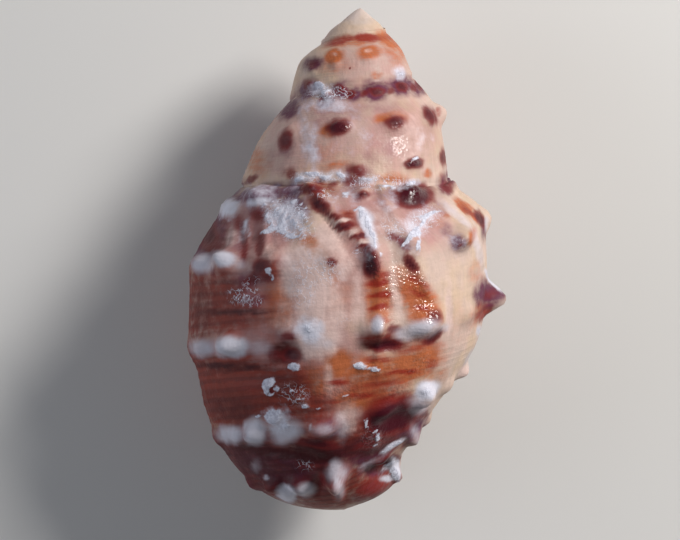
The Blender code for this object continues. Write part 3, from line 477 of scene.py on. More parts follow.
# Thick chalky crusts and crumbs.
CHALK_MARKS = (
    # the spire
    (4.0, 6.75, 0.35, 0.25, 0, 0.7), (-4.0, 8.0, 0.5, 0.35, -30, 1.0), (-3.4, 8.7, 0.4, 0.25, 30, 1.0),
    (5.3, 15.3, 0.6, 0.14, 20, 0.8),
    # the third seam and the shoulder
    (-4.6, 16.9, 0.8, 0.2, -12, 1.0), (-1.9, 17.0, 0.5, 0.3, -20, 0.9), (-3.3, 17.2, 0.6, 0.24, 10, 0.8),
    (-5.9, 17.4, 0.6, 0.2, 20, 0.9), (0.5, 17.4, 0.9, 0.14, -5, 0.8), (4.9, 17.7, 0.6, 0.2, 20, 1.0),
    (2.6, 18.2, 0.8, 0.17, -10, 0.9), (-1.5, 18.9, 0.5, 0.25, 10, 0.7), (-3.1, 19.0, 0.5, 0.22, 0, 0.6),
    (-13.0, 19.3, 0.5, 0.2, 10, 0.5), (-6.0, 19.9, 1.3, 0.13, -28, 1.0), (-0.3, 20.3, 0.6, 0.16, 20, 0.8),
    (-9.2, 20.5, 1.0, 0.13, -78, 0.9), (-7.9, 20.8, 1.7, 0.17, -58, 1.2), (6.6, 20.8, 1.2, 0.2, 25, 0.9),
    (0.1, 20.9, 0.7, 0.2, -80, 0.9), (-5.6, 21.1, 1.3, 0.13, -38, 1.0), (6.2, 21.4, 1.2, 0.2, 52, 1.1),
    (-6.6, 21.5, 1.7, 0.17, -48, 1.2), (-8.6, 21.8, 1.1, 0.15, -66, 1.0),
    (-7.6, 22.1, 0.9, 0.2, -30, 1.1), (0.9, 22.2, 2.0, 0.24, -73, 1.1), (-8.9, 22.5, 0.8, 0.22, 10, 1.0),
    (5.0, 22.7, 1.0, 0.24, 42, 1.15), (-6.9, 22.8, 1.3, 0.24, -18, 1.2), (5.2, 22.8, 0.7, 0.4, 10, 1.0),
    (4.3, 23.6, 0.7, 0.16, 40, 1.0), (5.6, 23.8, 0.24, 0.6, -10, 0.8), (-0.4, 24.3, 0.5, 0.3, 0, 0.6),
    # the middle of the back
    (1.8, 24.6, 0.4, 0.3, 0, 0.6), (-8.9, 26.2, 0.35, 0.3, 0, 1.1), (-8.5, 26.9, 0.2, 0.25, 0, 1.0),
    (-5.1, 31.6, 1.0, 0.5, 15, 0.6), (0.0, 35.4, 0.7, 0.45, -10, 1.1), (-6.4, 35.5, 0.55, 0.42, 0, 1.15),
    (1.3, 35.8, 0.9, 0.14, -12, 1.1),
    # the lower back and the end
    (-8.9, 37.1, 0.7, 0.42, 25, 1.2), (-8.1, 37.6, 0.28, 0.35, 0, 1.0), (-9.1, 37.7, 0.3, 0.5, 0, 1.2),
    (6.5, 37.9, 0.8, 0.5, 20, 0.6), (-6.6, 38.0, 0.9, 0.13, 0, 1.1), (-8.8, 38.4, 0.35, 0.2, 0, 1.0),
    (-1.8, 38.4, 0.6, 0.08, 8, 0.8), (-6.1, 38.6, 0.9, 0.16, 0, 1.0), (-5.3, 39.4, 0.38, 0.2, -15, 1.2),
    (-3.9, 39.6, 0.5, 0.08, 0, 0.7), (-8.4, 40.4, 0.8, 0.6, 20, 1.25), (-10.0, 40.5, 0.5, 0.12, -5, 1.1),
    (0.5, 41.1, 0.22, 0.4, 15, 1.0), (-7.4, 41.2, 0.9, 0.5, 15, 0.65), (1.3, 41.9, 0.5, 0.1, 0, 1.0),
    (1.6, 42.5, 0.25, 0.4, -20, 1.1), (1.3, 43.3, 0.4, 0.1, 10, 1.0), (3.2, 43.4, 1.1, 0.16, 28, 1.0),
    (3.0, 45.3, 0.8, 0.2, 20, 0.8), (3.4, 46.4, 0.35, 1.0, 20, 1.0),
)
# Nets of thin chalk lines.
LACE_MARKS = (
    # the spire
    (-3.0, 8.9, 2.2, 0.9, 0, 0.8),
    # the third seam and the shoulder
    (-4.0, 17.2, 3.0, 0.5, 0, 0.8), (1.4, 17.7, 3.6, 0.8, 0, 0.7), (-3.4, 18.9, 1.4, 0.5, 0, 0.7),
    (-7.6, 20.9, 1.2, 2.0, -35, 0.8), (-6.9, 21.3, 2.4, 1.6, -35, 1.1), (6.0, 21.4, 2.0, 1.2, 30, 0.7),
    (3.2, 22.3, 1.6, 1.2, -30, 0.6), (9.6, 23.7, 1.5, 1.2, 0, 0.3), (-0.2, 24.4, 0.9, 0.5, 0, 0.6),
    # the middle of the back
    (-3.4, 26.4, 1.6, 1.4, -30, 0.6), (-10.6, 27.3, 0.9, 0.5, 20, 0.8), (-5.4, 27.4, 1.4, 3.2, -5, 0.55),
    (-11.4, 28.3, 1.4, 0.4, 0, 1.3), (-11.1, 29.2, 1.5, 0.5, -4, 1.2), (-1.6, 31.2, 1.0, 0.8, 0, 0.35),
    (5.4, 31.5, 2.4, 1.2, 0, 0.25),
    # the lower back and the end
    (-6.5, 38.2, 1.4, 1.2, 0, 0.7), (-7.5, 41.3, 1.8, 1.2, 0, 0.35), (1.0, 42.4, 1.2, 1.4, 0, 0.3),
    (-5.5, 45.3, 0.9, 0.7, 0, 0.6), (2.8, 46.2, 1.5, 1.1, 20, 0.35), (-7.5, 49.0, 2.5, 0.8, 0, 0.3),
)
# Wet patches, which glint.
WET_MARKS = (
    # the spire
    (-1.9, 12.0, 0.7, 0.5, 0, 0.8), (3.9, 12.2, 0.7, 0.6, 0, 1.1), (4.0, 13.8, 0.7, 1.1, 0, 1.0),
    (5.3, 15.6, 0.7, 0.5, 0, 0.9),
    # the third seam and the shoulder
    (5.4, 18.6, 1.0, 0.7, 0, 0.8), (9.7, 23.7, 0.5, 0.5, 0, 0.7),
    # the middle of the back
    (1.4, 25.8, 0.6, 1.2, 0, 1.1), (4.2, 27.0, 1.2, 1.2, 0, 0.8), (5.6, 27.5, 0.8, 1.6, 25, 1.2),
    (2.9, 28.3, 0.7, 1.6, 5, 0.9), (6.3, 29.9, 0.9, 1.3, 15, 1.2), (2.7, 31.0, 1.0, 0.7, 0, 0.9),
    (5.8, 32.6, 1.2, 0.5, 10, 0.6), (5.6, 35.3, 1.8, 1.0, 25, 0.9), (2.0, 35.8, 2.4, 0.9, 8, 0.5),
    # the lower back and the end
    (3.4, 37.9, 1.6, 0.6, 15, 0.7), (-2.0, 38.0, 2.6, 1.0, 0, 0.8), (1.2, 42.5, 1.4, 1.2, 0, 0.9),
)

# Seeds of the uneven values, and how many steps of their lattice pass before they repeat.
SEEDS = {"warp": 11, "uneven": 23, "growth": 31, "crust": 47, "flames": 59, "bands": 71}
LATTICE = 48

# Heights above the axis, in millimetres, between which the marks and the relief chosen for the
# back fade in.
MARKS_FADE = (-6.0, -2.5)
RELIEF_FADE = (-4.0, 0.0)

# Lights: place from the middle of the shell and side of the square, in metres, and colour.
LIGHTS = {
    "key": ((0.22, 0.15, 0.19), 0.10, (1.0, 0.97, 0.94)),
    "fill": ((-0.30, -0.04, 0.13), 0.22, (0.82, 0.88, 1.0)),
}


def metres(value, **words):
    """A length property, given in millimetres and shown in the scene's unit."""
    return bpy.props.FloatProperty(
        default=value * MM, precision=6, subtype="DISTANCE", unit="LENGTH", **words
    )


def paint(red, green, blue, **words):
    """A colour property in linear light."""
    return bpy.props.FloatVectorProperty(
        default=(red, green, blue), size=3, min=0.0, max=1.0, subtype="COLOR", **words
    )


class ShellSizes(bpy.types.PropertyGroup):
    """Sizes of the shell's fine relief."""

    cord_spacing: metres(0.85, name="Cord Spacing", description="Distance between spiral cords on the back")
    cord_height: metres(0.07, name="Cord Height", description="How far the spiral cords stand out")
    growth_height: metres(0.07, name="Growth Height", description="Height of the coarse growth folds")
    unevenness: metres(0.12, name="Unevenness", description="Height of the worn, wavy unevenness")
    crust_height: metres(0.16, name="Crust Height", description="Thickness of the chalky crusts")
    thread_spacing: metres(0.42, name="Thread Spacing", description="Distance between the finest threads")
    lira_height: metres(0.12, name="Lira Height", description="Height of the ridges inside the lip")


class ShellColours(bpy.types.PropertyGroup):
    """Pigments of the shell."""

    cream: paint(0.60, 0.45, 0.385, name="Cream", description="Ground colour of the whorls")
    honey: paint(0.62, 0.45, 0.29, name="Honey", description="Warm tint drifting through the cream")
    rose: paint(0.45, 0.235, 0.22, name="Rose", description="Pinkish patches in the ground colour")
    pale: paint(0.70, 0.52, 0.475, name="Pale", description="Pale swelling down the back")
    orange: paint(0.44, 0.125, 0.048, name="Orange", description="Orange zones and halos")
    brown: paint(0.24, 0.038, 0.024, name="Brown", description="Red-brown zones on the left and below")
    red: paint(0.27, 0.018, 0.010, name="Red", description="Red streaks along the spiral")
    # Deep brown, partly the shell's own colour and partly painted shade in grooves, dents and between the
    # cords.
    umber: paint(0.062, 0.007, 0.009, name="Umber", description="Deep brown in grooves and at the lower end")
    rust: paint(0.17, 0.016, 0.016, name="Rust", description="Edge of the dark spots")
    violet: paint(0.12, 0.028, 0.060, name="Violet", description="Violet bands at the seams and spines")
    maroon: paint(0.060, 0.0035, 0.010, name="Maroon", description="Dark spots")
    white: paint(0.60, 0.585, 0.66, name="White", description="Porcelain white of the worn knobs")
    chalk: paint(0.74, 0.75, 0.86, name="Chalk", description="Rough chalky crust")
    # The darker, bluer copy of the chalk is painted shade on the chalky crust.
    veil: paint(0.50, 0.50, 0.60, name="Veil", description="Shaded parts of the chalky crust")
    mouth: paint(0.80, 0.36, 0.09, name="Mouth", description="Inside of the mouth")
    lira: paint(0.62, 0.14, 0.03, name="Lira", description="Spiral lines inside the mouth")
    pillar: paint(0.86, 0.68, 0.42, name="Pillar", description="Smooth pillar beside the mouth")


class StageSizes(bpy.types.PropertyGroup):
    """Floor, lights and camera."""

    floor_width: metres(1600, name="Floor Width", description="Side of the square floor")
    floor_colour: paint(0.72, 0.71, 0.69, name="Floor Colour", description="Plain pale floor")
    lens: bpy.props.FloatProperty(name="Lens", description="Focal length in millimetres", default=200.0)
    key_power: bpy.props.FloatProperty(name="Key Power", description="Main light in watts", default=1.2)
    fill_power: bpy.props.FloatProperty(name="Fill Power", description="Soft light in watts", default=0.30)
    sky_strength: bpy.props.FloatProperty(name="Sky", description="Strength of the even light", default=0.14)


# Shape of the whorl


def through(places, values, at):
    """Follow a smooth curve through values standing at places, and read it at other places.

    Each stretch is a cubic whose slope at a place is the mean of the two slopes beside it.
    """
    places = np.asarray(places, float)
    values = np.asarray(values, float)
    at = np.clip(np.asarray(at, float), places[0], places[-1])
    gap = np.diff(places).reshape((-1,) + (1,) * (values.ndim - 1))
    rise = np.diff(values, axis=0) / gap
    slope = np.concatenate([rise[:1], rise[:1], rise[1:]])[: len(values)]
    slope[1:-1] = (rise[:-1] * gap[1:] + rise[1:] * gap[:-1]) / (gap[1:] + gap[:-1])
    slope[-1] = rise[-1]
    stretch = np.clip(np.searchsorted(places, at, side="right") - 1, 0, len(places) - 2)
    width = gap[stretch].reshape(at.shape + (1,) * (values.ndim - 1))
    part = (at - places[stretch]).reshape(width.shape) / width
    back = 1.0 - part
    return (
        (1 + 2 * part) * back**2 * values[stretch]
        + part * back**2 * width * slope[stretch]
        + part**2 * (3 - 2 * part) * values[stretch + 1]
        - part**2 * back * width * slope[stretch + 1]
    )


def ease(value, low, high):
    """0 below low, 1 above high, and a smooth S between."""
    part = np.clip((value - low) / (high - low), 0, 1)
    return part * part * (3 - 2 * part)


def seam(turn):
    """Drop and distance from the axis of the seam above a whorl."""
    table = np.array(SEAM)
    return through(table[:, 0], table[:, 1:], turn)


def profile_places(turn):
    """Named places of the whorl's profile at each turn, as (place, ..., drop and distance)."""
    above = seam(turn)
    chord = seam(np.asarray(turn) + 1) - above
    outward = np.stack([-chord[..., 1], chord[..., 0]], -1)
    outward /= np.linalg.norm(outward, axis=-1, keepdims=True)
    swell = through(*zip(*SWELL), turn)[..., None]
    ridges = np.array(RIDGES)
    shoulder, ridge = np.moveaxis(through(ridges[:, 0], ridges[:, 1:], turn), -1, 0)[..., None]
    along = (0.0, 0.14 * shoulder, 0.55 * shoulder, shoulder, (shoulder + ridge) / 2, ridge, 1.0)
    spire = [above + chord * way + outward * swell * out for way, out in zip(along, SPIRE_SWELL)]
    base = through([line[0] for line in BASE], [line[1:] for line in BASE], turn)
    tip = np.broadcast_to((TIP_DROP, 0.0), above.shape)
    return np.stack(spire + [base[..., place, :] for place in range(4)] + [tip])


def profile(turn, row):
    """Drop and distance from the axis at each turn and row, and the outward direction there.

    The profile is a smooth curve through its named places, and outward is square to the curve.
    """
    places = profile_places(turn)
    knots = SPIRE_PLACES + BASE_PLACES
    shares = np.eye(len(knots))
    nudge = 0.001
    at, ahead, behind = (
        np.einsum("...k,k...c->...c", through(knots, shares, row + step), places)
        for step in (0.0, nudge, -nudge)
    )
    way = ahead - behind
    out = np.stack([-way[..., 1], way[..., 0]], -1)
    return at, out / np.maximum(np.linalg.norm(out, axis=-1, keepdims=True), 1e-9)


def wind(turn, drop, distance):
    """Points in the shell's own frame: the axis along Y, the apex up, whole turns facing +Z."""
    angle = math.tau * np.asarray(turn)
    return np.stack(np.broadcast_arrays(-distance * np.sin(angle), -drop, distance * np.cos(angle)), -1)


def patchwork(points, size, seed):
    """Smooth uneven values from -1 to 1: random values on a cubic lattice, eased from one to the next."""
    table = np.random.default_rng(seed).uniform(-1, 1, (LATTICE,) * 3)
    cell = np.floor(points / size).astype(int)
    part = points / size - cell
    part = part * part * (3 - 2 * part)
    value = np.zeros(points.shape[:-1])
    for corner in np.ndindex(2, 2, 2):
        share = np.prod(np.where(corner, part, 1 - part), axis=-1)
        at = (cell + corner) % LATTICE
        value += share * table[at[..., 0], at[..., 1], at[..., 2]]
    return value


# Relief


def bump(distance):
    """A smooth round knob, 1 in its middle and 0 from two half widths away."""
    return np.clip(1 - (distance / 2) ** 2, 0, 1) ** 3


def knob_height(turn, row, here):
    """Height of the knobs and of the pale fold above the smooth whorl, whose places are here."""
    height = np.zeros(turn.shape)
    for ring, knobs in KNOBS.items():
        middle = profile(turn, np.full(turn.shape, ring))[0]
        across = np.linalg.norm(here - middle, axis=-1)
        for knob_turn, tall, long, wide in knobs:
            round_whorl = (turn - knob_turn) * math.tau * middle[..., 1]
            height = np.maximum(height, tall * bump(np.hypot(round_whorl / long, across / wide)))
    fold = bump((turn - FOLD_TURN) / FOLD_WIDTH) * bump((row - FOLD_ROW) / FOLD_ROWS)
    return height + FOLD_HEIGHT * fold


def old_lip_height(turn, row, here):
    """Steps left by former lips: the older shell rises towards each edge and falls off beyond it."""
    height = np.zeros(turn.shape)
    for lip_rows, turns, tall, rise, fall in OLD_LIPS:
        past = (turn - through(lip_rows, turns, row)) * math.tau * here[..., 1]
        step = np.exp(np.where(past < 0, past / rise, -past / fall))
        height += tall * step * (1 - ease(row, OLD_LIP_END, lip_rows[-1]))
    return height


def spiral_place(row):
    """Millimetres down the back of the last whorl from its upper seam to each row."""
    all_rows = np.linspace(0, 1, 201)
    at = profile(np.full(all_rows.shape, BACK_TURN), all_rows)[0]
    steps = np.linalg.norm(np.diff(at, axis=0), axis=1)
    return np.interp(row, all_rows, np.concatenate([[0], np.cumsum(steps)]))


def growth_place(turn, row):
    """Millimetres of growth along the whorl, counted along lines shaped like the lip."""
    return (turn - through(LEAN_ROWS, LEAN_TURNS, row)) * MM_PER_TURN


def seam_groove(turn, row, here):
    """The groove along the seam: the upper edge of one whorl and the lower edge of the one before."""
    below = np.exp(-((row / SEAM_WIDTH) ** 2))
    above = np.exp(-(((row - SEAM_BELOW) / SEAM_WIDTH) ** 2)) * (turn <= LAST_TURN - 1)
    return -SEAM_DEPTH * np.maximum(below, above) * np.clip(here[..., 1] / 11 - 0.15, 0, 1)


def back_relief(points):
    """Height of the dents and swellings listed for the back."""
    right, below = camera_plane(points)
    height = np.zeros(right.shape)
    for mark_right, mark_below, half_width, half_height, tilt, tall in RELIEF_MARKS:
        x, y = right - mark_right, mark_below - below
        near = np.hypot(x, y) < 2 * max(half_width, half_height)
        slant = math.radians(tilt)
        along = (x[near] * math.cos(slant) + y[near] * math.sin(slant)) / half_width
        across = (y[near] * math.cos(slant) - x[near] * math.sin(slant)) / half_height
        height[near] += tall * bump(np.hypot(along, across))
    return height * ease(points[..., 2], *RELIEF_FADE)


def fine_relief(sizes, turn, row, here):
    """Spiral cords, growth folds and wear above the knobs.

    The cords are a raised cosine of the distance down the whorl, the folds are uneven values
    that change quickly along the growth and slowly across it, and both shrink with the whorl.
    """
    down, grown = spiral_place(row), growth_place(turn, row)
    size = here[..., 1] / 14.0
    flat = np.stack([grown, down * 0.06, np.zeros_like(down)], -1)
    points = wind(turn, here[..., 0], here[..., 1])
    shifted = down + 0.3 * patchwork(points, 2.3, SEEDS["bands"])
    cords = (0.5 + 0.5 * np.cos(math.tau * shifted * MM / sizes.cord_spacing)) ** 1.3
    strength = np.clip(0.5 + 1.1 * patchwork(points, 3.1, SEEDS["bands"] + 1), 0, 1)
    folds = patchwork(flat, 0.8, SEEDS["growth"]) + 1.3 * patchwork(flat, 2.1, SEEDS["growth"] + 1)
    wear = patchwork(points, 4.0, SEEDS["uneven"]) + 0.45 * patchwork(points, 1.6, SEEDS["uneven"] + 1)
    wear += 0.25 * patchwork(points, 0.7, SEEDS["uneven"] + 2)
    height = sizes.cord_height * cords * strength + sizes.growth_height * 0.5 * folds
    return (height + sizes.unevenness * wear) / MM * np.clip(size, 0.1, 1)


def lip_turn(row, turn):
    """How far back a growth line bends at each row, in turns: the notch at the tip and the lip's teeth."""
    notch = NOTCH_TURNS * np.exp(-(((row - NOTCH_ROW) / NOTCH_WIDTH) ** 2))
    teeth = TOOTH_TURNS * (0.5 - 0.5 * np.cos(math.tau * spiral_place(row) / TOOTH_SPACING))
    notch_share = np.clip((turn - LAST_TURN) / NOTCH_REACH + 1, 0, 1) ** 2
    tooth_share = np.clip((turn - LAST_TURN) / TOOTH_REACH + 1, 0, 1) ** 2
    return notch * notch_share + teeth * tooth_share


def rows():
    """Rows of the grid: even steps to the seam below, then even steps to the tip."""
    spire = np.linspace(0, SEAM_BELOW, SPIRE_ROWS + 1)
    base = np.linspace(SEAM_BELOW, 1, BASE_ROWS + 1)
    return np.concatenate([spire, base[1:]])


def surface(sizes, turn, row, sunk=0.0, relief=1.0):
    """Points and outward directions, with the relief on and sunk by so many millimetres."""
    turn = turn - lip_turn(row, turn)
    at, out = profile(turn, row)
    height = knob_height(turn, row, at) + old_lip_height(turn, row, at) + fine_relief(sizes, turn, row, at)
    height += seam_groove(turn, row, at) + back_relief(wind(turn, at[..., 0], at[..., 1]))
    at = at + out * (height * relief - sunk)[..., None]
    return wind(turn, at[..., 0], at[..., 1]), wind(turn, out[..., 0], out[..., 1])


# The mesh


def lip_side(sizes, depth, edge):
    """Points on the hollow's outer side, a wall's thickness in from the outside.

    edge runs from 0 to 1 round the lip's rounded edge, and depth is in turns behind it.
    """
    row = rows()
    row = row + edge * (LIP_GAPS[0] * (1 - row) - LIP_GAPS[1] * row)
    half_round = math.pi * edge
    turn = np.full_like(row, LAST_TURN - depth + LIP_OVERHANG * math.sin(half_round))
    lirae = np.cos(math.tau * spiral_place(row) / TOOTH_SPACING) * math.exp(-depth / LIRA_FADE) * edge
    sunk = WALL * (1 - math.cos(half_round)) / 2 + sizes.lira_height / MM * lirae
    return surface(sizes, turn, row, sunk, 1.0 - edge)[0]


def pillar_side(sizes, depth, edge):
    """Points on the hollow's inner side: the whorl before, from its lower seam to the tip."""
    row = rows()[SPIRE_ROWS:]
    row = row + edge * (PILLAR_GAPS[0] * (1 - row) - PILLAR_GAPS[1] * row)
    turn = np.full_like(row, LAST_TURN - 1 - depth - PILLAR_STEP * edge)
    return surface(sizes, turn, row, 0.0, 1.0 - edge)[0]


def hollow_ring(sizes, depth, edge):
    """One ring round the hollow: the seam's corner, down the lip, the tip, and back up the pillar.

    Near the blind end the ring shrinks towards its middle, as a ball's circles do.
    """
    lip = lip_side(sizes, depth, edge)
    pillar = pillar_side(sizes, depth, edge)
    corner = (lip[0] + pillar[0]) / 2
    foot = (lip[-1] + pillar[-1]) / 2
    ring = np.concatenate([[corner], lip[1:-1], [foot], pillar[-2:0:-1]])
    into_end = max(0.0, 1 - (HOLLOW_TURNS - depth) / END_TURNS)
    middle = ring.mean(axis=0)
    return middle + (ring - middle) * math.sqrt(1 - into_end**2)


def number_grid(columns, last):
    """Number the outside's points by column and row. Each whorl's lower edge is the next one's seam."""
    first_base = columns - STEPS_PER_WHORL
    used = np.ones((columns + 1, last + 1), bool)
    used[:first_base, SPIRE_ROWS:] = False
    used[:, last] = False
    number = np.full(used.shape, used.sum())
    number[used] = np.arange(used.sum())
    number[: first_base + 1, SPIRE_ROWS] = number[STEPS_PER_WHORL:, 0]
    return number, used


def between(first, second):
    """Four-cornered faces between two lines of points, as an array of corners."""
    return np.stack([first[..., :-1], second[..., :-1], second[..., 1:], first[..., 1:]], -1)


def closed(ring):
    """A ring of numbers with its first one added at the end."""
    return np.concatenate([ring, ring[:1]])


class Sheet:
    """Points of the shell with what the painting needs, and its faces."""

    def __init__(self):
        self.points, self.out, self.turn, self.row, self.inside = [], [], [], [], []
        self.corners, self.corner_turn, self.corner_row = [], [], []
        self.count = 0

    def add_points(self, points, out, turn, row, inside):
        """Add points, and return their numbers."""
        shape = points.shape[:-1]
        self.points.append(points.reshape(-1, 3))
        self.out.append(np.broadcast_to(out, points.shape).reshape(-1, 3))
        for store, value in ((self.turn, turn), (self.row, row), (self.inside, inside)):
            store.append(np.broadcast_to(value, shape).ravel())
        numbers = self.count + np.arange(np.prod(shape)).reshape(shape)
        self.count += numbers.size
        return numbers

    def add_faces(self, corners, turn, row):
        """Add four-cornered faces with the turn and row of each corner."""
        self.corners.append(corners.reshape(-1, 4))
        self.corner_turn.append(np.broadcast_to(turn, corners.shape).reshape(-1, 4))
        self.corner_row.append(np.broadcast_to(row, corners.shape).reshape(-1, 4))

    def stacked(self, name):
        """All parts of one list as one array."""
        return np.concatenate(getattr(self, name))


def outside_sheet(sizes):
    """The outside of all whorls as a grid of columns and rows wound on itself."""
    row = rows()
    columns, last = int(WHORLS * STEPS_PER_WHORL), len(row) - 1
    turns = LAST_TURN - np.arange(columns, -1, -1) / STEPS_PER_WHORL
    number, used = number_grid(columns, last)
    turn, row = np.broadcast_arrays(turns[:, None], row)
    sheet = Sheet()
    points, out = surface(sizes, turn[used], row[used])
    sheet.add_points(points, out, turn[used], row[used], 0.0)
    sheet.add_points(wind([0.0], TIP_DROP, 0.0), (0.0, -1.0, 0.0), LAST_TURN, 1.0, 0.0)
    first_base = columns - STEPS_PER_WHORL
    for rows_here, start in ((slice(0, SPIRE_ROWS + 1), 0), (slice(SPIRE_ROWS, last + 1), first_base)):
        part = (slice(start, None), rows_here)
        grid, grid_turn, grid_row = number[part], turn[part], row[part]
        corners = between(grid[:-1], grid[1:])
        sheet.add_faces(corners, between(grid_turn[:-1], grid_turn[1:]), between(grid_row[:-1], grid_row[1:]))
    return sheet, number, turns


def add_cap(sheet, number, turns):
    """Close the apex with rings that shrink to a slightly rounded point."""
    start = np.concatenate([number[0, :SPIRE_ROWS], number[STEPS_PER_WHORL:0:-1, 0]])
    edge = sheet.stacked("points")[start]
    edge_turn, edge_row = sheet.stacked("turn")[start], sheet.stacked("row")[start]
    apex = wind(0.0, 0.0, 0.0)
    ring = start
    for share in np.linspace(1, 0, CAP_RINGS + 1)[1:-1]:
        reach = edge - apex
        points = apex + reach * (share, share**CAP_ROUNDING, share)
        inner = sheet.add_points(points, (0.0, 1.0, 0.0), edge_turn, edge_row, 0.0)
        sheet.add_faces(between(closed(inner), closed(ring)), edge_turn[:, None], edge_row[:, None])
        ring = inner
    tip = sheet.add_points(apex[None], (0.0, 1.0, 0.0), turns[0], 0.0, 0.0)
    sheet.add_faces(between(closed(ring * 0 + tip), closed(ring)), edge_turn[:, None], edge_row[:, None])


def add_hollow(sheet, sizes, number, turns):
    """Carry the edge of the mouth round the lip and back into the shell, to a blind end."""
    columns, last = number.shape[0] - 1, number.shape[1] - 1
    first_base = columns - STEPS_PER_WHORL
    ring = np.concatenate([number[columns], number[first_base, last - 1 : SPIRE_ROWS : -1]])
    row = np.concatenate([rows(), rows()[last - 1 : SPIRE_ROWS : -1]])
    on_pillar = np.arange(len(ring)) > last
    stages = [(0.0, edge) for edge in np.linspace(0, 1, LIP_STEPS + 1)[1:]]
    stages += [(depth, 1.0) for depth in np.linspace(0, HOLLOW_TURNS, HOLLOW_STEPS + 1)[1:-1]]
    for depth, edge in stages:
        turn = np.where(on_pillar, turns[first_base], LAST_TURN) - depth
        inside = edge * np.where(on_pillar, 2.0, 1.0)
        inner = sheet.add_points(hollow_ring(sizes, depth, edge), 0.0, turn, row, inside)
        sheet.add_faces(between(closed(ring), closed(inner)), turn[:, None], row[:, None])
        ring = inner
    middle = hollow_ring(sizes, HOLLOW_TURNS, 1.0)[:1]
    end = sheet.add_points(middle, 0.0, LAST_TURN - HOLLOW_TURNS, 0.5, 1.0)
    sheet.add_faces(between(closed(ring), closed(ring * 0 + end)), LAST_TURN, row[:, None])


# Painting


def camera_plane(points):
    """Millimetres right of the apex and below it, as the camera sees each point of the shell's frame."""
    long = math.hypot(1, AXIS_LEAN)
    right = (points[:, 0] + points[:, 1] * AXIS_LEAN) / long
    below = (-points[:, 1] + points[:, 0] * AXIS_LEAN) / long
    return right, below


def painted(marks, right, below):
    """Strength of a pigment: the strongest of its ovals, full inside half of each and gone half beyond it."""
    value = np.zeros(right.shape)
    for mark_right, mark_below, half_width, half_height, tilt, strength in marks:
        x, y = right - mark_right, mark_below - below
        near = np.hypot(x, y) < 1.5 * max(half_width, half_height)
        slant = math.radians(tilt)
        along = (x[near] * math.cos(slant) + y[near] * math.sin(slant)) / half_width
        across = (y[near] * math.cos(slant) - x[near] * math.sin(slant)) / half_height
        oval = strength * np.clip(1.5 - np.hypot(along, across), 0, 1)
        value[near] = np.maximum(value[near], oval)
    return value


def hidden_paint(points, turn, row):
    """Pigments on the sides that the picture doesn't show, from the same habits of growth.

    Red-brown flames follow the growth between the rings of knobs, dark spots stand between
    knobs, and the knobs themselves are worn white.
    """
    down, grown = spiral_place(row), growth_place(turn, row)
    wander = patchwork(points, 2.4, SEEDS["warp"] + 4)
    drift = patchwork(points, 1.9, SEEDS["warp"] + 5)
    flat = np.stack([grown + 1.5 * wander, down * 0.35 + 0.6 * drift, 0.7 * wander * drift], -1)
    flames = patchwork(flat, 2.6, SEEDS["flames"]) + 0.5 * patchwork(flat, 1.1, SEEDS["flames"] + 1)
    at = profile(turn, row)[0]
    knobs = knob_height(turn, row, at)
    rings = sum(bump((row - ring) / 0.035) for ring in KNOBS)
    spots = rings * ease(patchwork(flat, 1.7, SEEDS["flames"] + 2), 0.0, 0.6) * (1 - ease(knobs, 0.2, 0.6))
    return {
        "brown": 0.75 * ease(flames, -0.1, 0.6) * (row > 0.02),
        "orange": 0.7 * ease(patchwork(flat, 3.0, SEEDS["flames"] + 3), -0.2, 0.6),
        "maroon": 0.95 * np.clip(spots, 0, 1),
        "white": 1.2 * ease(knobs, 0.35, 0.9),
        "violet": 0.6 * bump(row / 0.03) + 0.5 * bump((row - SEAM_BELOW) / 0.02) * (turn < LAST_TURN - 1),
        "rose": 0.9 * ease(patchwork(points, 6.0, SEEDS["flames"] + 4), -0.3, 0.5),
    }


def pigments(points, turn, row, inside):
    """All pigment strengths by name, one value for each point."""
    right, below = camera_plane(points)
    warp = SEEDS["warp"]
    right = right + 0.16 * patchwork(points, 0.9, warp) + 0.07 * patchwork(points, 0.4, warp + 1)
    below = below + 0.16 * patchwork(points, 0.9, warp + 2) + 0.07 * patchwork(points, 0.4, warp + 3)
    seen = ease(points[:, 2], *MARKS_FADE) * (inside == 0)
    hidden = hidden_paint(points, turn, row)
    lists = {
        "maroon": MAROON_MARKS, "umber": UMBER_MARKS, "red": RED_MARKS, "orange": ORANGE_MARKS,
        "brown": BROWN_MARKS, "violet": VIOLET_MARKS, "rose": ROSE_MARKS, "white": WHITE_MARKS,
        "pale": PALE_MARKS, "veil": VEIL_MARKS, "chalk": CHALK_MARKS, "lace": LACE_MARKS, "wet": WET_MARKS,
    }
    strengths = {}
    for name, marks in lists.items():
        behind = hidden.get(name, 0.0) * (1 - seen) * (inside == 0)
        strengths[name] = painted(marks, right, below) * seen + behind
    strengths["lip"] = np.clip(inside, 0, 1)
    strengths["pillar"] = np.clip(inside - 1, 0, 1)
    return strengths


def crust_height(strengths, points):
    """Thickness of the chalky crust at each point, as a share: rough on top, steep at the edge."""
    rough = 0.7 + 0.5 * patchwork(points, 0.45, SEEDS["crust"])
    crust = ease(strengths["chalk"] + 0.15 * patchwork(points, 0.5, SEEDS["crust"] + 1), 0.3, 0.6)
    return crust * rough


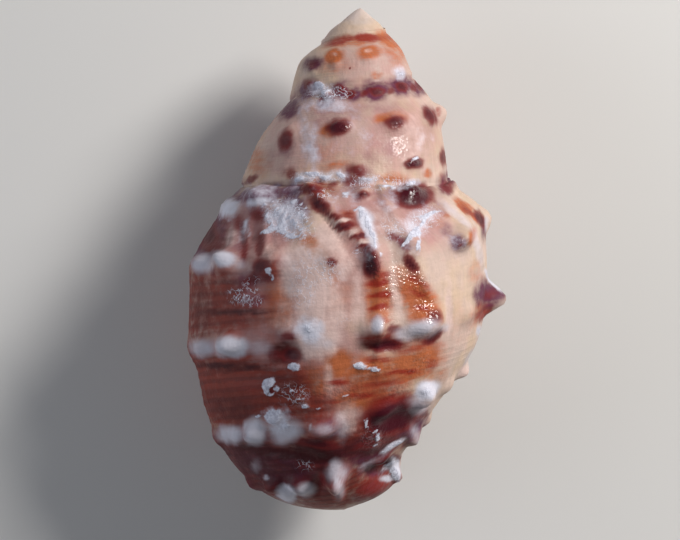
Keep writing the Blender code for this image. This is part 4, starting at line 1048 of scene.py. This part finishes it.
def write_mesh(name, sheet, points):
    """Put the points and faces into a mesh. Its UV map holds millimetres of growth and down the whorl."""
    corners = sheet.stacked("corners")
    keep = corners != np.roll(corners, -1, axis=1)
    sides = keep.sum(axis=1)
    mesh = bpy.data.meshes.new(name)
    mesh.vertices.add(len(points))
    mesh.vertices.foreach_set("co", (points * MM).astype(np.float32).ravel())
    mesh.loops.add(int(keep.sum()))
    mesh.loops.foreach_set("vertex_index", corners[keep].astype(np.int32))
    mesh.polygons.add(len(corners))
    mesh.polygons.foreach_set("loop_start", np.concatenate([[0], np.cumsum(sides)[:-1]]).astype(np.int32))
    mesh.update(calc_edges=True)
    turn, row = sheet.stacked("corner_turn")[keep], sheet.stacked("corner_row")[keep]
    place = np.stack([growth_place(turn, row), spiral_place(row)], -1)
    mesh.uv_layers.new(name="growth").data.foreach_set("uv", place.astype(np.float32).ravel())
    mesh.shade_smooth()
    return mesh


def build_shell(sizes):
    """The whole shell as one closed mesh, laid on the table, with its pigments as attributes."""
    sheet, number, turns = outside_sheet(sizes)
    add_cap(sheet, number, turns)
    add_hollow(sheet, sizes, number, turns)
    points, out = sheet.stacked("points"), sheet.stacked("out")
    strengths = pigments(points, sheet.stacked("turn"), sheet.stacked("row"), sheet.stacked("inside"))
    crust = crust_height(strengths, points)[:, None] * out * sizes.crust_height / MM
    laid = points + crust + (*APEX_PLACE, AXIS_HEIGHT)
    laid[:, 2] = np.maximum(laid[:, 2], 0.0)
    mesh = write_mesh("shell_surface", sheet, laid)
    for name, values in strengths.items():
        mesh.attributes.new(name, "FLOAT", "POINT").data.foreach_set("value", values.astype(np.float32))
    return bpy.data.objects.new("shell_surface", mesh)


# Material


class Wiring:
    """Short calls that add nodes to one material. Noise scales are waves to the metre."""

    def __init__(self, name):
        self.material = bpy.data.materials.new(name)
        self.material.use_nodes = True
        self.tree = self.material.node_tree
        self.shader = self.tree.nodes["Principled BSDF"]

    def node(self, kind, inputs=None, **settings):
        """Add a node, set it up and feed its inputs with links or plain values."""
        node = self.tree.nodes.new(kind)
        for key, value in settings.items():
            setattr(node, key, value)
        for key, value in (inputs or {}).items():
            self.feed(node.inputs[key], value)
        return node

    def feed(self, socket, value):
        """Link an output to a socket, or set the socket to a plain value."""
        if isinstance(value, bpy.types.NodeSocket):
            self.tree.links.new(value, socket)
        else:
            socket.default_value = value

    def math(self, operation, first, second=0.0, third=0.0):
        """One calculation with up to three numbers."""
        inputs = {0: first, 1: second, 2: third}
        return self.node("ShaderNodeMath", inputs, operation=operation).outputs[0]

    def vector(self, operation, first, second):
        """One calculation with two vectors."""
        return self.node("ShaderNodeVectorMath", {0: first, 1: second}, operation=operation).outputs[0]

    def attribute(self, name):
        """A value stored at the mesh's points."""
        return self.node("ShaderNodeAttribute", attribute_name=name).outputs["Fac"]

    def noise(self, place, scale, detail=2.0, roughness=0.5):
        """Cloudy values round 0.5."""
        inputs = {"Vector": place, "Scale": scale, "Detail": detail, "Roughness": roughness}
        return self.node("ShaderNodeTexNoise", inputs).outputs["Fac"]

    def ease(self, value, low, high, to_low=0.0, to_high=1.0):
        """A smooth S from to_low, where the value is low, to to_high, where it is high."""
        inputs = {"Value": value, "From Min": low, "From Max": high, "To Min": to_low, "To Max": to_high}
        return self.node("ShaderNodeMapRange", inputs, interpolation_type="SMOOTHSTEP").outputs["Result"]

    def centred(self, value):
        """A cloudy value moved so that it lies round 0."""
        return self.math("SUBTRACT", value, 0.5)

    def mix(self, share, first, second):
        """One colour laid over another."""
        node = self.node("ShaderNodeMix", data_type="RGBA")
        self.feed(node.inputs[0], share)
        self.feed(node.inputs[6], first)
        self.feed(node.inputs[7], second)
        return node.outputs[2]


def opaque(colour):
    """A colour with full opacity."""
    return (*colour, 1.0)


def shell_material(sizes, colours):
    """Porcelain-like shell, wet in places, with chalk crusts that stay dull."""
    wiring = Wiring("shell_surface")
    place = wiring.node("ShaderNodeTexCoord").outputs["Object"]
    grown = wiring.node("ShaderNodeUVMap", uv_map="growth").outputs["UV"]
    fine = wiring.noise(place, 2600.0, 3.0, 0.6)
    coarse = wiring.noise(place, 700.0, 3.0, 0.6)
    along = wiring.noise(wiring.vector("MULTIPLY", grown, (0.32, 1.7, 0.0)), 1.0, 5.0, 0.62)
    across = wiring.noise(wiring.vector("MULTIPLY", grown, (2.2, 0.22, 0.0)), 1.0, 4.0, 0.6)
    cords = cord_wave(wiring, grown, sizes.cord_spacing / MM, along)
    colour = ground_colour(wiring, colours, place, coarse, along, across, cords)
    colour = dark_colours(wiring, colours, colour, coarse, along)
    colour, chalk = white_colours(wiring, colours, colour, coarse, fine, web_lines(wiring, place))
    colour = mouth_colour(wiring, colours, colour, grown, coarse)
    wiring.feed(wiring.shader.inputs["Base Color"], colour)
    wet = wiring.attribute("wet")
    rough = wiring.math("MULTIPLY_ADD", wet, -0.28, wiring.ease(coarse, 0.25, 0.75, 0.38, 0.58))
    rough = wiring.math("MAXIMUM", rough, wiring.math("MULTIPLY", chalk, 0.85))
    wiring.feed(wiring.shader.inputs["Roughness"], rough)
    wiring.shader.inputs["Specular IOR Level"].default_value = 0.2
    coat = wiring.math("SUBTRACT", wiring.math("MULTIPLY_ADD", wet, 0.85, 0.02), chalk)
    wiring.feed(wiring.shader.inputs["Coat Weight"], wiring.math("MAXIMUM", coat, 0.0))
    wiring.shader.inputs["Coat Roughness"].default_value = 0.05
    threads = cord_wave(wiring, grown, sizes.thread_spacing / MM, along)
    normal = fine_bumps(wiring, threads, across, fine, chalk, wet, place)
    wiring.feed(wiring.shader.inputs["Normal"], normal)
    wiring.feed(wiring.shader.inputs["Coat Normal"], normal)
    return wiring.material


def cord_wave(wiring, grown, spacing, wander=0.0):
    """A raised cosine of the distance down the whorl, which wanders a little."""
    down = wiring.node("ShaderNodeSeparateXYZ", {0: grown}).outputs["Y"]
    down = wiring.math("MULTIPLY_ADD", wander, 0.8, down)
    wave = wiring.math("COSINE", wiring.math("MULTIPLY", down, math.tau / spacing))
    return wiring.math("MULTIPLY_ADD", wave, 0.5, 0.5)


def web_lines(wiring, place):
    """A net of thin lines, where a cloudy value crosses its middle."""
    cloud = wiring.noise(place, 1500.0, 2.5, 0.6)
    away = wiring.math("ABSOLUTE", wiring.centred(cloud))
    return wiring.ease(away, 0.0, 0.035, 1.0, 0.0)


def ground_colour(wiring, colours, place, coarse, along, across, cords):
    """The soft zones: cream with honey and rose, the pale swelling, orange, brown, violet and deep brown, and
    painted shade in deep brown between the spiral cords.
    """
    cloud = wiring.math("MULTIPLY_ADD", wiring.centred(coarse), 0.8, wiring.attribute("rose"))
    warm = wiring.ease(wiring.noise(place, 190.0, 3.0, 0.6), 0.42, 0.64, 0.0, 0.55)
    colour = wiring.mix(warm, opaque(colours.cream), opaque(colours.honey))
    colour = wiring.mix(wiring.ease(cloud, 0.0, 1.0), colour, opaque(colours.rose))
    streaks = wiring.centred(along)
    growth = wiring.centred(across)
    for name, tint, streaky, cloudy in (
        ("orange", colours.orange, 1.3, 1.3), ("brown", colours.brown, 1.1, 1.5),
        ("violet", colours.violet, 0.6, 1.8), ("umber", colours.umber, 1.3, 1.4),
    ):
        strength = wiring.attribute(name)
        uneven = wiring.math("MULTIPLY", streaks, streaky)
        uneven = wiring.math("MULTIPLY_ADD", wiring.centred(coarse), cloudy, uneven)
        uneven = wiring.math("MULTIPLY_ADD", growth, 0.35, uneven)
        strength = wiring.math("MULTIPLY_ADD", uneven, wiring.math("MINIMUM", strength, 1.0), strength)
        colour = wiring.mix(wiring.ease(strength, 0.05, 1.1), colour, opaque(tint))
    pale = wiring.math("MULTIPLY_ADD", wiring.centred(coarse), 1.2, wiring.attribute("pale"))
    colour = wiring.mix(wiring.ease(pale, 0.1, 1.1, 0.0, 0.9), colour, opaque(colours.pale))
    # Painted shade: deep brown laid in the troughs between the spiral cords, inside the brown zones.
    grooves = wiring.math("MULTIPLY", wiring.math("SUBTRACT", 1.0, cords), wiring.attribute("brown"))
    colour = wiring.mix(wiring.ease(grooves, 0.2, 1.2, 0.0, 0.35), colour, opaque(colours.umber))
    banded = wiring.math("ADD", wiring.attribute("brown"), wiring.attribute("orange"))
    banded = wiring.math("MINIMUM", banded, 1.0)
    tone = wiring.math("MULTIPLY", streaks, wiring.math("MULTIPLY_ADD", banded, 0.6, 0.12))
    tone = wiring.math("MULTIPLY_ADD", growth, wiring.math("MULTIPLY_ADD", banded, 0.2, 0.32), tone)
    tone = wiring.math("MULTIPLY_ADD", wiring.centred(coarse), 0.4, tone)
    tone = wiring.math("ADD", tone, 1.0)
    return wiring.node("ShaderNodeVectorMath", {0: colour, "Scale": tone}, operation="SCALE").outputs[0]


def dark_colours(wiring, colours, colour, coarse, along):
    """Red streaks along the spiral, and dark spots with a rusty edge."""
    ragged = wiring.centred(coarse)
    streaky = wiring.math("MULTIPLY", wiring.centred(along), 1.2)
    red = wiring.ease(wiring.math("ADD", wiring.attribute("red"), streaky), 0.1, 1.25, 0.0, 0.92)
    red = wiring.math("MULTIPLY", red, wiring.ease(wiring.attribute("red"), 0.0, 0.35))
    colour = wiring.mix(red, colour, opaque(colours.red))
    maroon = wiring.math("MULTIPLY_ADD", ragged, 0.5, wiring.attribute("maroon"))
    colour = wiring.mix(wiring.ease(maroon, 0.0, 0.7, 0.0, 0.9), colour, opaque(colours.rust))
    return wiring.mix(wiring.ease(maroon, 0.45, 1.25), colour, opaque(colours.maroon))


def white_colours(wiring, colours, colour, coarse, fine, web):
    """Worn white knobs, thin whitish bloom with a net of lines in it, and solid chalk with painted shade in
    it.
    """
    ragged = wiring.centred(coarse)
    white = wiring.math("MULTIPLY_ADD", ragged, 0.35, wiring.attribute("white"))
    colour = wiring.mix(wiring.ease(white, 0.1, 1.0), colour, opaque(colours.white))
    bloom = wiring.math("MULTIPLY_ADD", ragged, 2.0, wiring.attribute("veil"))
    bloom = wiring.math("MULTIPLY_ADD", wiring.centred(fine), 0.5, bloom)
    inside_veil = wiring.ease(wiring.attribute("veil"), 0.0, 0.3)
    bloom = wiring.math("MULTIPLY", wiring.ease(bloom, 0.2, 1.5, 0.0, 0.8), inside_veil)
    colour = wiring.mix(bloom, colour, opaque(colours.chalk))
    net = wiring.math("MULTIPLY", web, wiring.ease(wiring.attribute("lace"), 0.1, 0.9))
    colour = wiring.mix(net, colour, opaque(colours.chalk))
    crust = wiring.math("MULTIPLY_ADD", ragged, 1.1, wiring.attribute("chalk"))
    crust = wiring.math("MULTIPLY_ADD", wiring.centred(fine), 0.5, crust)
    crust = wiring.ease(crust, 0.35, 0.75)
    # Painted shade: the crust drifts with fine noise between the chalk and a darker, bluer shaded copy of it.
    shade = wiring.mix(wiring.ease(fine, 0.35, 0.65), opaque(colours.veil), opaque(colours.chalk))
    return wiring.mix(crust, colour, shade), wiring.math("MAXIMUM", crust, wiring.math("MULTIPLY", net, 0.7))


def mouth_colour(wiring, colours, colour, grown, coarse):
    """Orange inside the lip with darker spiral lines, and a smooth yellowish pillar."""
    lines = wiring.ease(cord_wave(wiring, grown, TOOTH_SPACING), 0.55, 0.95, 0.0, 0.8)
    inner = wiring.mix(lines, opaque(colours.mouth), opaque(colours.lira))
    colour = wiring.mix(wiring.ease(wiring.attribute("lip"), 0.25, 0.9), colour, inner)
    glow = wiring.ease(coarse, 0.4, 0.7, 0.0, 0.4)
    pillar = wiring.mix(glow, opaque(colours.pillar), opaque(colours.mouth))
    return wiring.mix(wiring.ease(wiring.attribute("pillar"), 0.1, 0.9), colour, pillar)


def fine_bumps(wiring, threads, across, fine, chalk, wet, place):
    """Threads, growth lines, pits and crust grain that are too fine for the mesh."""
    grain = wiring.noise(place, 9000.0, 2.0, 0.6)
    outside = wiring.math("SUBTRACT", 1.0, wiring.math("MINIMUM", wiring.attribute("lip"), 1.0))
    beads = wiring.noise(place, 3000.0, 1.0, 0.5)
    height = wiring.math("MULTIPLY", threads, wiring.math("MULTIPLY", outside, 0.006))
    height = wiring.math("MULTIPLY_ADD", across, wiring.math("MULTIPLY", outside, 0.022), height)
    height = wiring.math("MULTIPLY_ADD", fine, 0.06, height)
    height = wiring.math("MULTIPLY_ADD", beads, wiring.math("MULTIPLY", wet, 0.17), height)
    height = wiring.math("MULTIPLY_ADD", wiring.math("MULTIPLY", grain, chalk), 0.10, height)
    inputs = {"Height": height, "Distance": MM, "Strength": 0.8}
    return wiring.node("ShaderNodeBump", inputs).outputs["Normal"]


# Stage


def plain_material(name, colour, roughness):
    """One even, dull colour with a faint mottling."""
    wiring = Wiring(name)
    place = wiring.node("ShaderNodeTexCoord").outputs["Object"]
    cloud = wiring.noise(place, 9.0, 3.0, 0.6)
    shade = wiring.mix(wiring.ease(cloud, 0.3, 0.7, 0.0, 0.06), opaque(colour), (0.5, 0.5, 0.5, 1.0))
    wiring.feed(wiring.shader.inputs["Base Color"], shade)
    wiring.shader.inputs["Roughness"].default_value = roughness
    return wiring.material


def make_floor(stage):
    """A square sheet under the shell."""
    half = stage.floor_width / 2
    level = CAD_BOX[0].z
    corners = [(-half, -half, level), (half, -half, level), (half, half, level), (-half, half, level)]
    mesh = bpy.data.meshes.new("floor")
    mesh.from_pydata(corners, [], [(0, 1, 2, 3)])
    mesh.materials.append(plain_material("floor", stage.floor_colour, 0.75))
    floor = bpy.data.objects.new("floor", mesh)
    bpy.context.scene.collection.objects.link(floor)


def make_light(name, power):
    """A square soft light that faces the middle of the shell."""
    place, size, colour = LIGHTS[name]
    lamp = bpy.data.lights.new(name, "AREA")
    lamp.size, lamp.energy, lamp.color = size, power, colour
    light = bpy.data.objects.new(name, lamp)
    target = (CAD_BOX[0] + CAD_BOX[1]) / 2
    light.location = target + type(target)(place)
    light.rotation_euler = (target - light.location).to_track_quat("-Z", "Y").to_euler()
    bpy.context.scene.collection.objects.link(light)


def make_sky(strength):
    """Even pale light from all round."""
    world = bpy.data.worlds.new("sky")
    world.use_nodes = True
    background = world.node_tree.nodes["Background"]
    background.inputs["Color"].default_value = (0.90, 0.94, 1.0, 1.0)
    background.inputs["Strength"].default_value = strength
    bpy.context.scene.world = world


def make_camera(lens):
    """A long lens straight above, turned so that the shell's axis leans as in the picture."""
    data = bpy.data.cameras.new("camera")
    data.lens, data.sensor_width = lens, 36.0
    width = PICTURE_PIXELS[0] * PIXEL * MM
    right = (PICTURE_PIXELS[0] / 2 - APEX_PIXEL[0]) * PIXEL
    below = (PICTURE_PIXELS[1] / 2 - APEX_PIXEL[1]) * PIXEL
    long = math.hypot(1, AXIS_LEAN)
    apex_right = (APEX_PLACE[0] + right / long + below * AXIS_LEAN / long) * MM
    apex_up = (APEX_PLACE[1] - below / long + right * AXIS_LEAN / long) * MM
    camera = bpy.data.objects.new("camera", data)
    camera.location = (apex_right, apex_up, AXIS_HEIGHT * MM + width * lens / data.sensor_width)
    camera.rotation_euler = (0.0, 0.0, math.atan(AXIS_LEAN))
    data.clip_start, data.clip_end = 0.01, 10.0
    bpy.context.scene.collection.objects.link(camera)
    bpy.context.scene.camera = camera


class SHELL_OT_make_shell(bpy.types.Operator):
    """Build the wound shell, paint it and let it stand for the plain solid"""

    bl_idname = "sea_shell.make_shell"
    bl_label = "Make Shell"

    def execute(self, context):
        settings = context.scene
        shell = build_shell(settings.shell_sizes)
        shell.data.materials.append(shell_material(settings.shell_sizes, settings.shell_colours))
        settings.collection.objects.link(shell)
        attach(shell, "root")
        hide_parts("shell")
        return {"FINISHED"}


class SHELL_OT_set_stage(bpy.types.Operator):
    """Put a pale floor under the shell, soft lights beside it and the camera above it"""

    bl_idname = "sea_shell.set_stage"
    bl_label = "Set Stage"

    def execute(self, context):
        stage = context.scene.stage_sizes
        make_floor(stage)
        make_light("key", stage.key_power)
        make_light("fill", stage.fill_power)
        make_sky(stage.sky_strength)
        make_camera(stage.lens)
        context.scene.view_settings.view_transform = "Standard"
        return {"FINISHED"}


class SHELL_PT_maker(bpy.types.Panel):
    """Sidebar panel with the shell's sizes, its colours and the two buttons"""

    bl_idname = "SHELL_PT_maker"
    bl_label = "Sea Shell"
    bl_space_type = "VIEW_3D"
    bl_region_type = "UI"
    bl_category = "Shell"

    def draw(self, context):
        layout = self.layout
        headings = {"shell_sizes": "Relief", "shell_colours": "Pigments", "stage_sizes": "Stage"}
        for name, label in headings.items():
            box = layout.box()
            box.label(text=label)
            group = getattr(context.scene, name)
            for prop in group.__annotations__:
                box.prop(group, prop)
        layout.operator(SHELL_OT_make_shell.bl_idname)
        layout.operator(SHELL_OT_set_stage.bl_idname)


CLASSES = (ShellSizes, ShellColours, StageSizes, SHELL_OT_make_shell, SHELL_OT_set_stage, SHELL_PT_maker)
GROUPS = {"shell_sizes": ShellSizes, "shell_colours": ShellColours, "stage_sizes": StageSizes}


def register():
    """Make the classes known to Blender and hang the settings on the scene."""
    for one in CLASSES:
        bpy.utils.register_class(one)
    for name, group in GROUPS.items():
        setattr(bpy.types.Scene, name, bpy.props.PointerProperty(type=group))


def unregister():
    """Take the settings and the classes away again."""
    for name in GROUPS:
        delattr(bpy.types.Scene, name)
    for one in reversed(CLASSES):
        bpy.utils.unregister_class(one)


def main():
    """Build everything."""
    register()
    bpy.ops.sea_shell.make_shell()
    bpy.ops.sea_shell.set_stage()


if __name__ == "__main__":
    main()
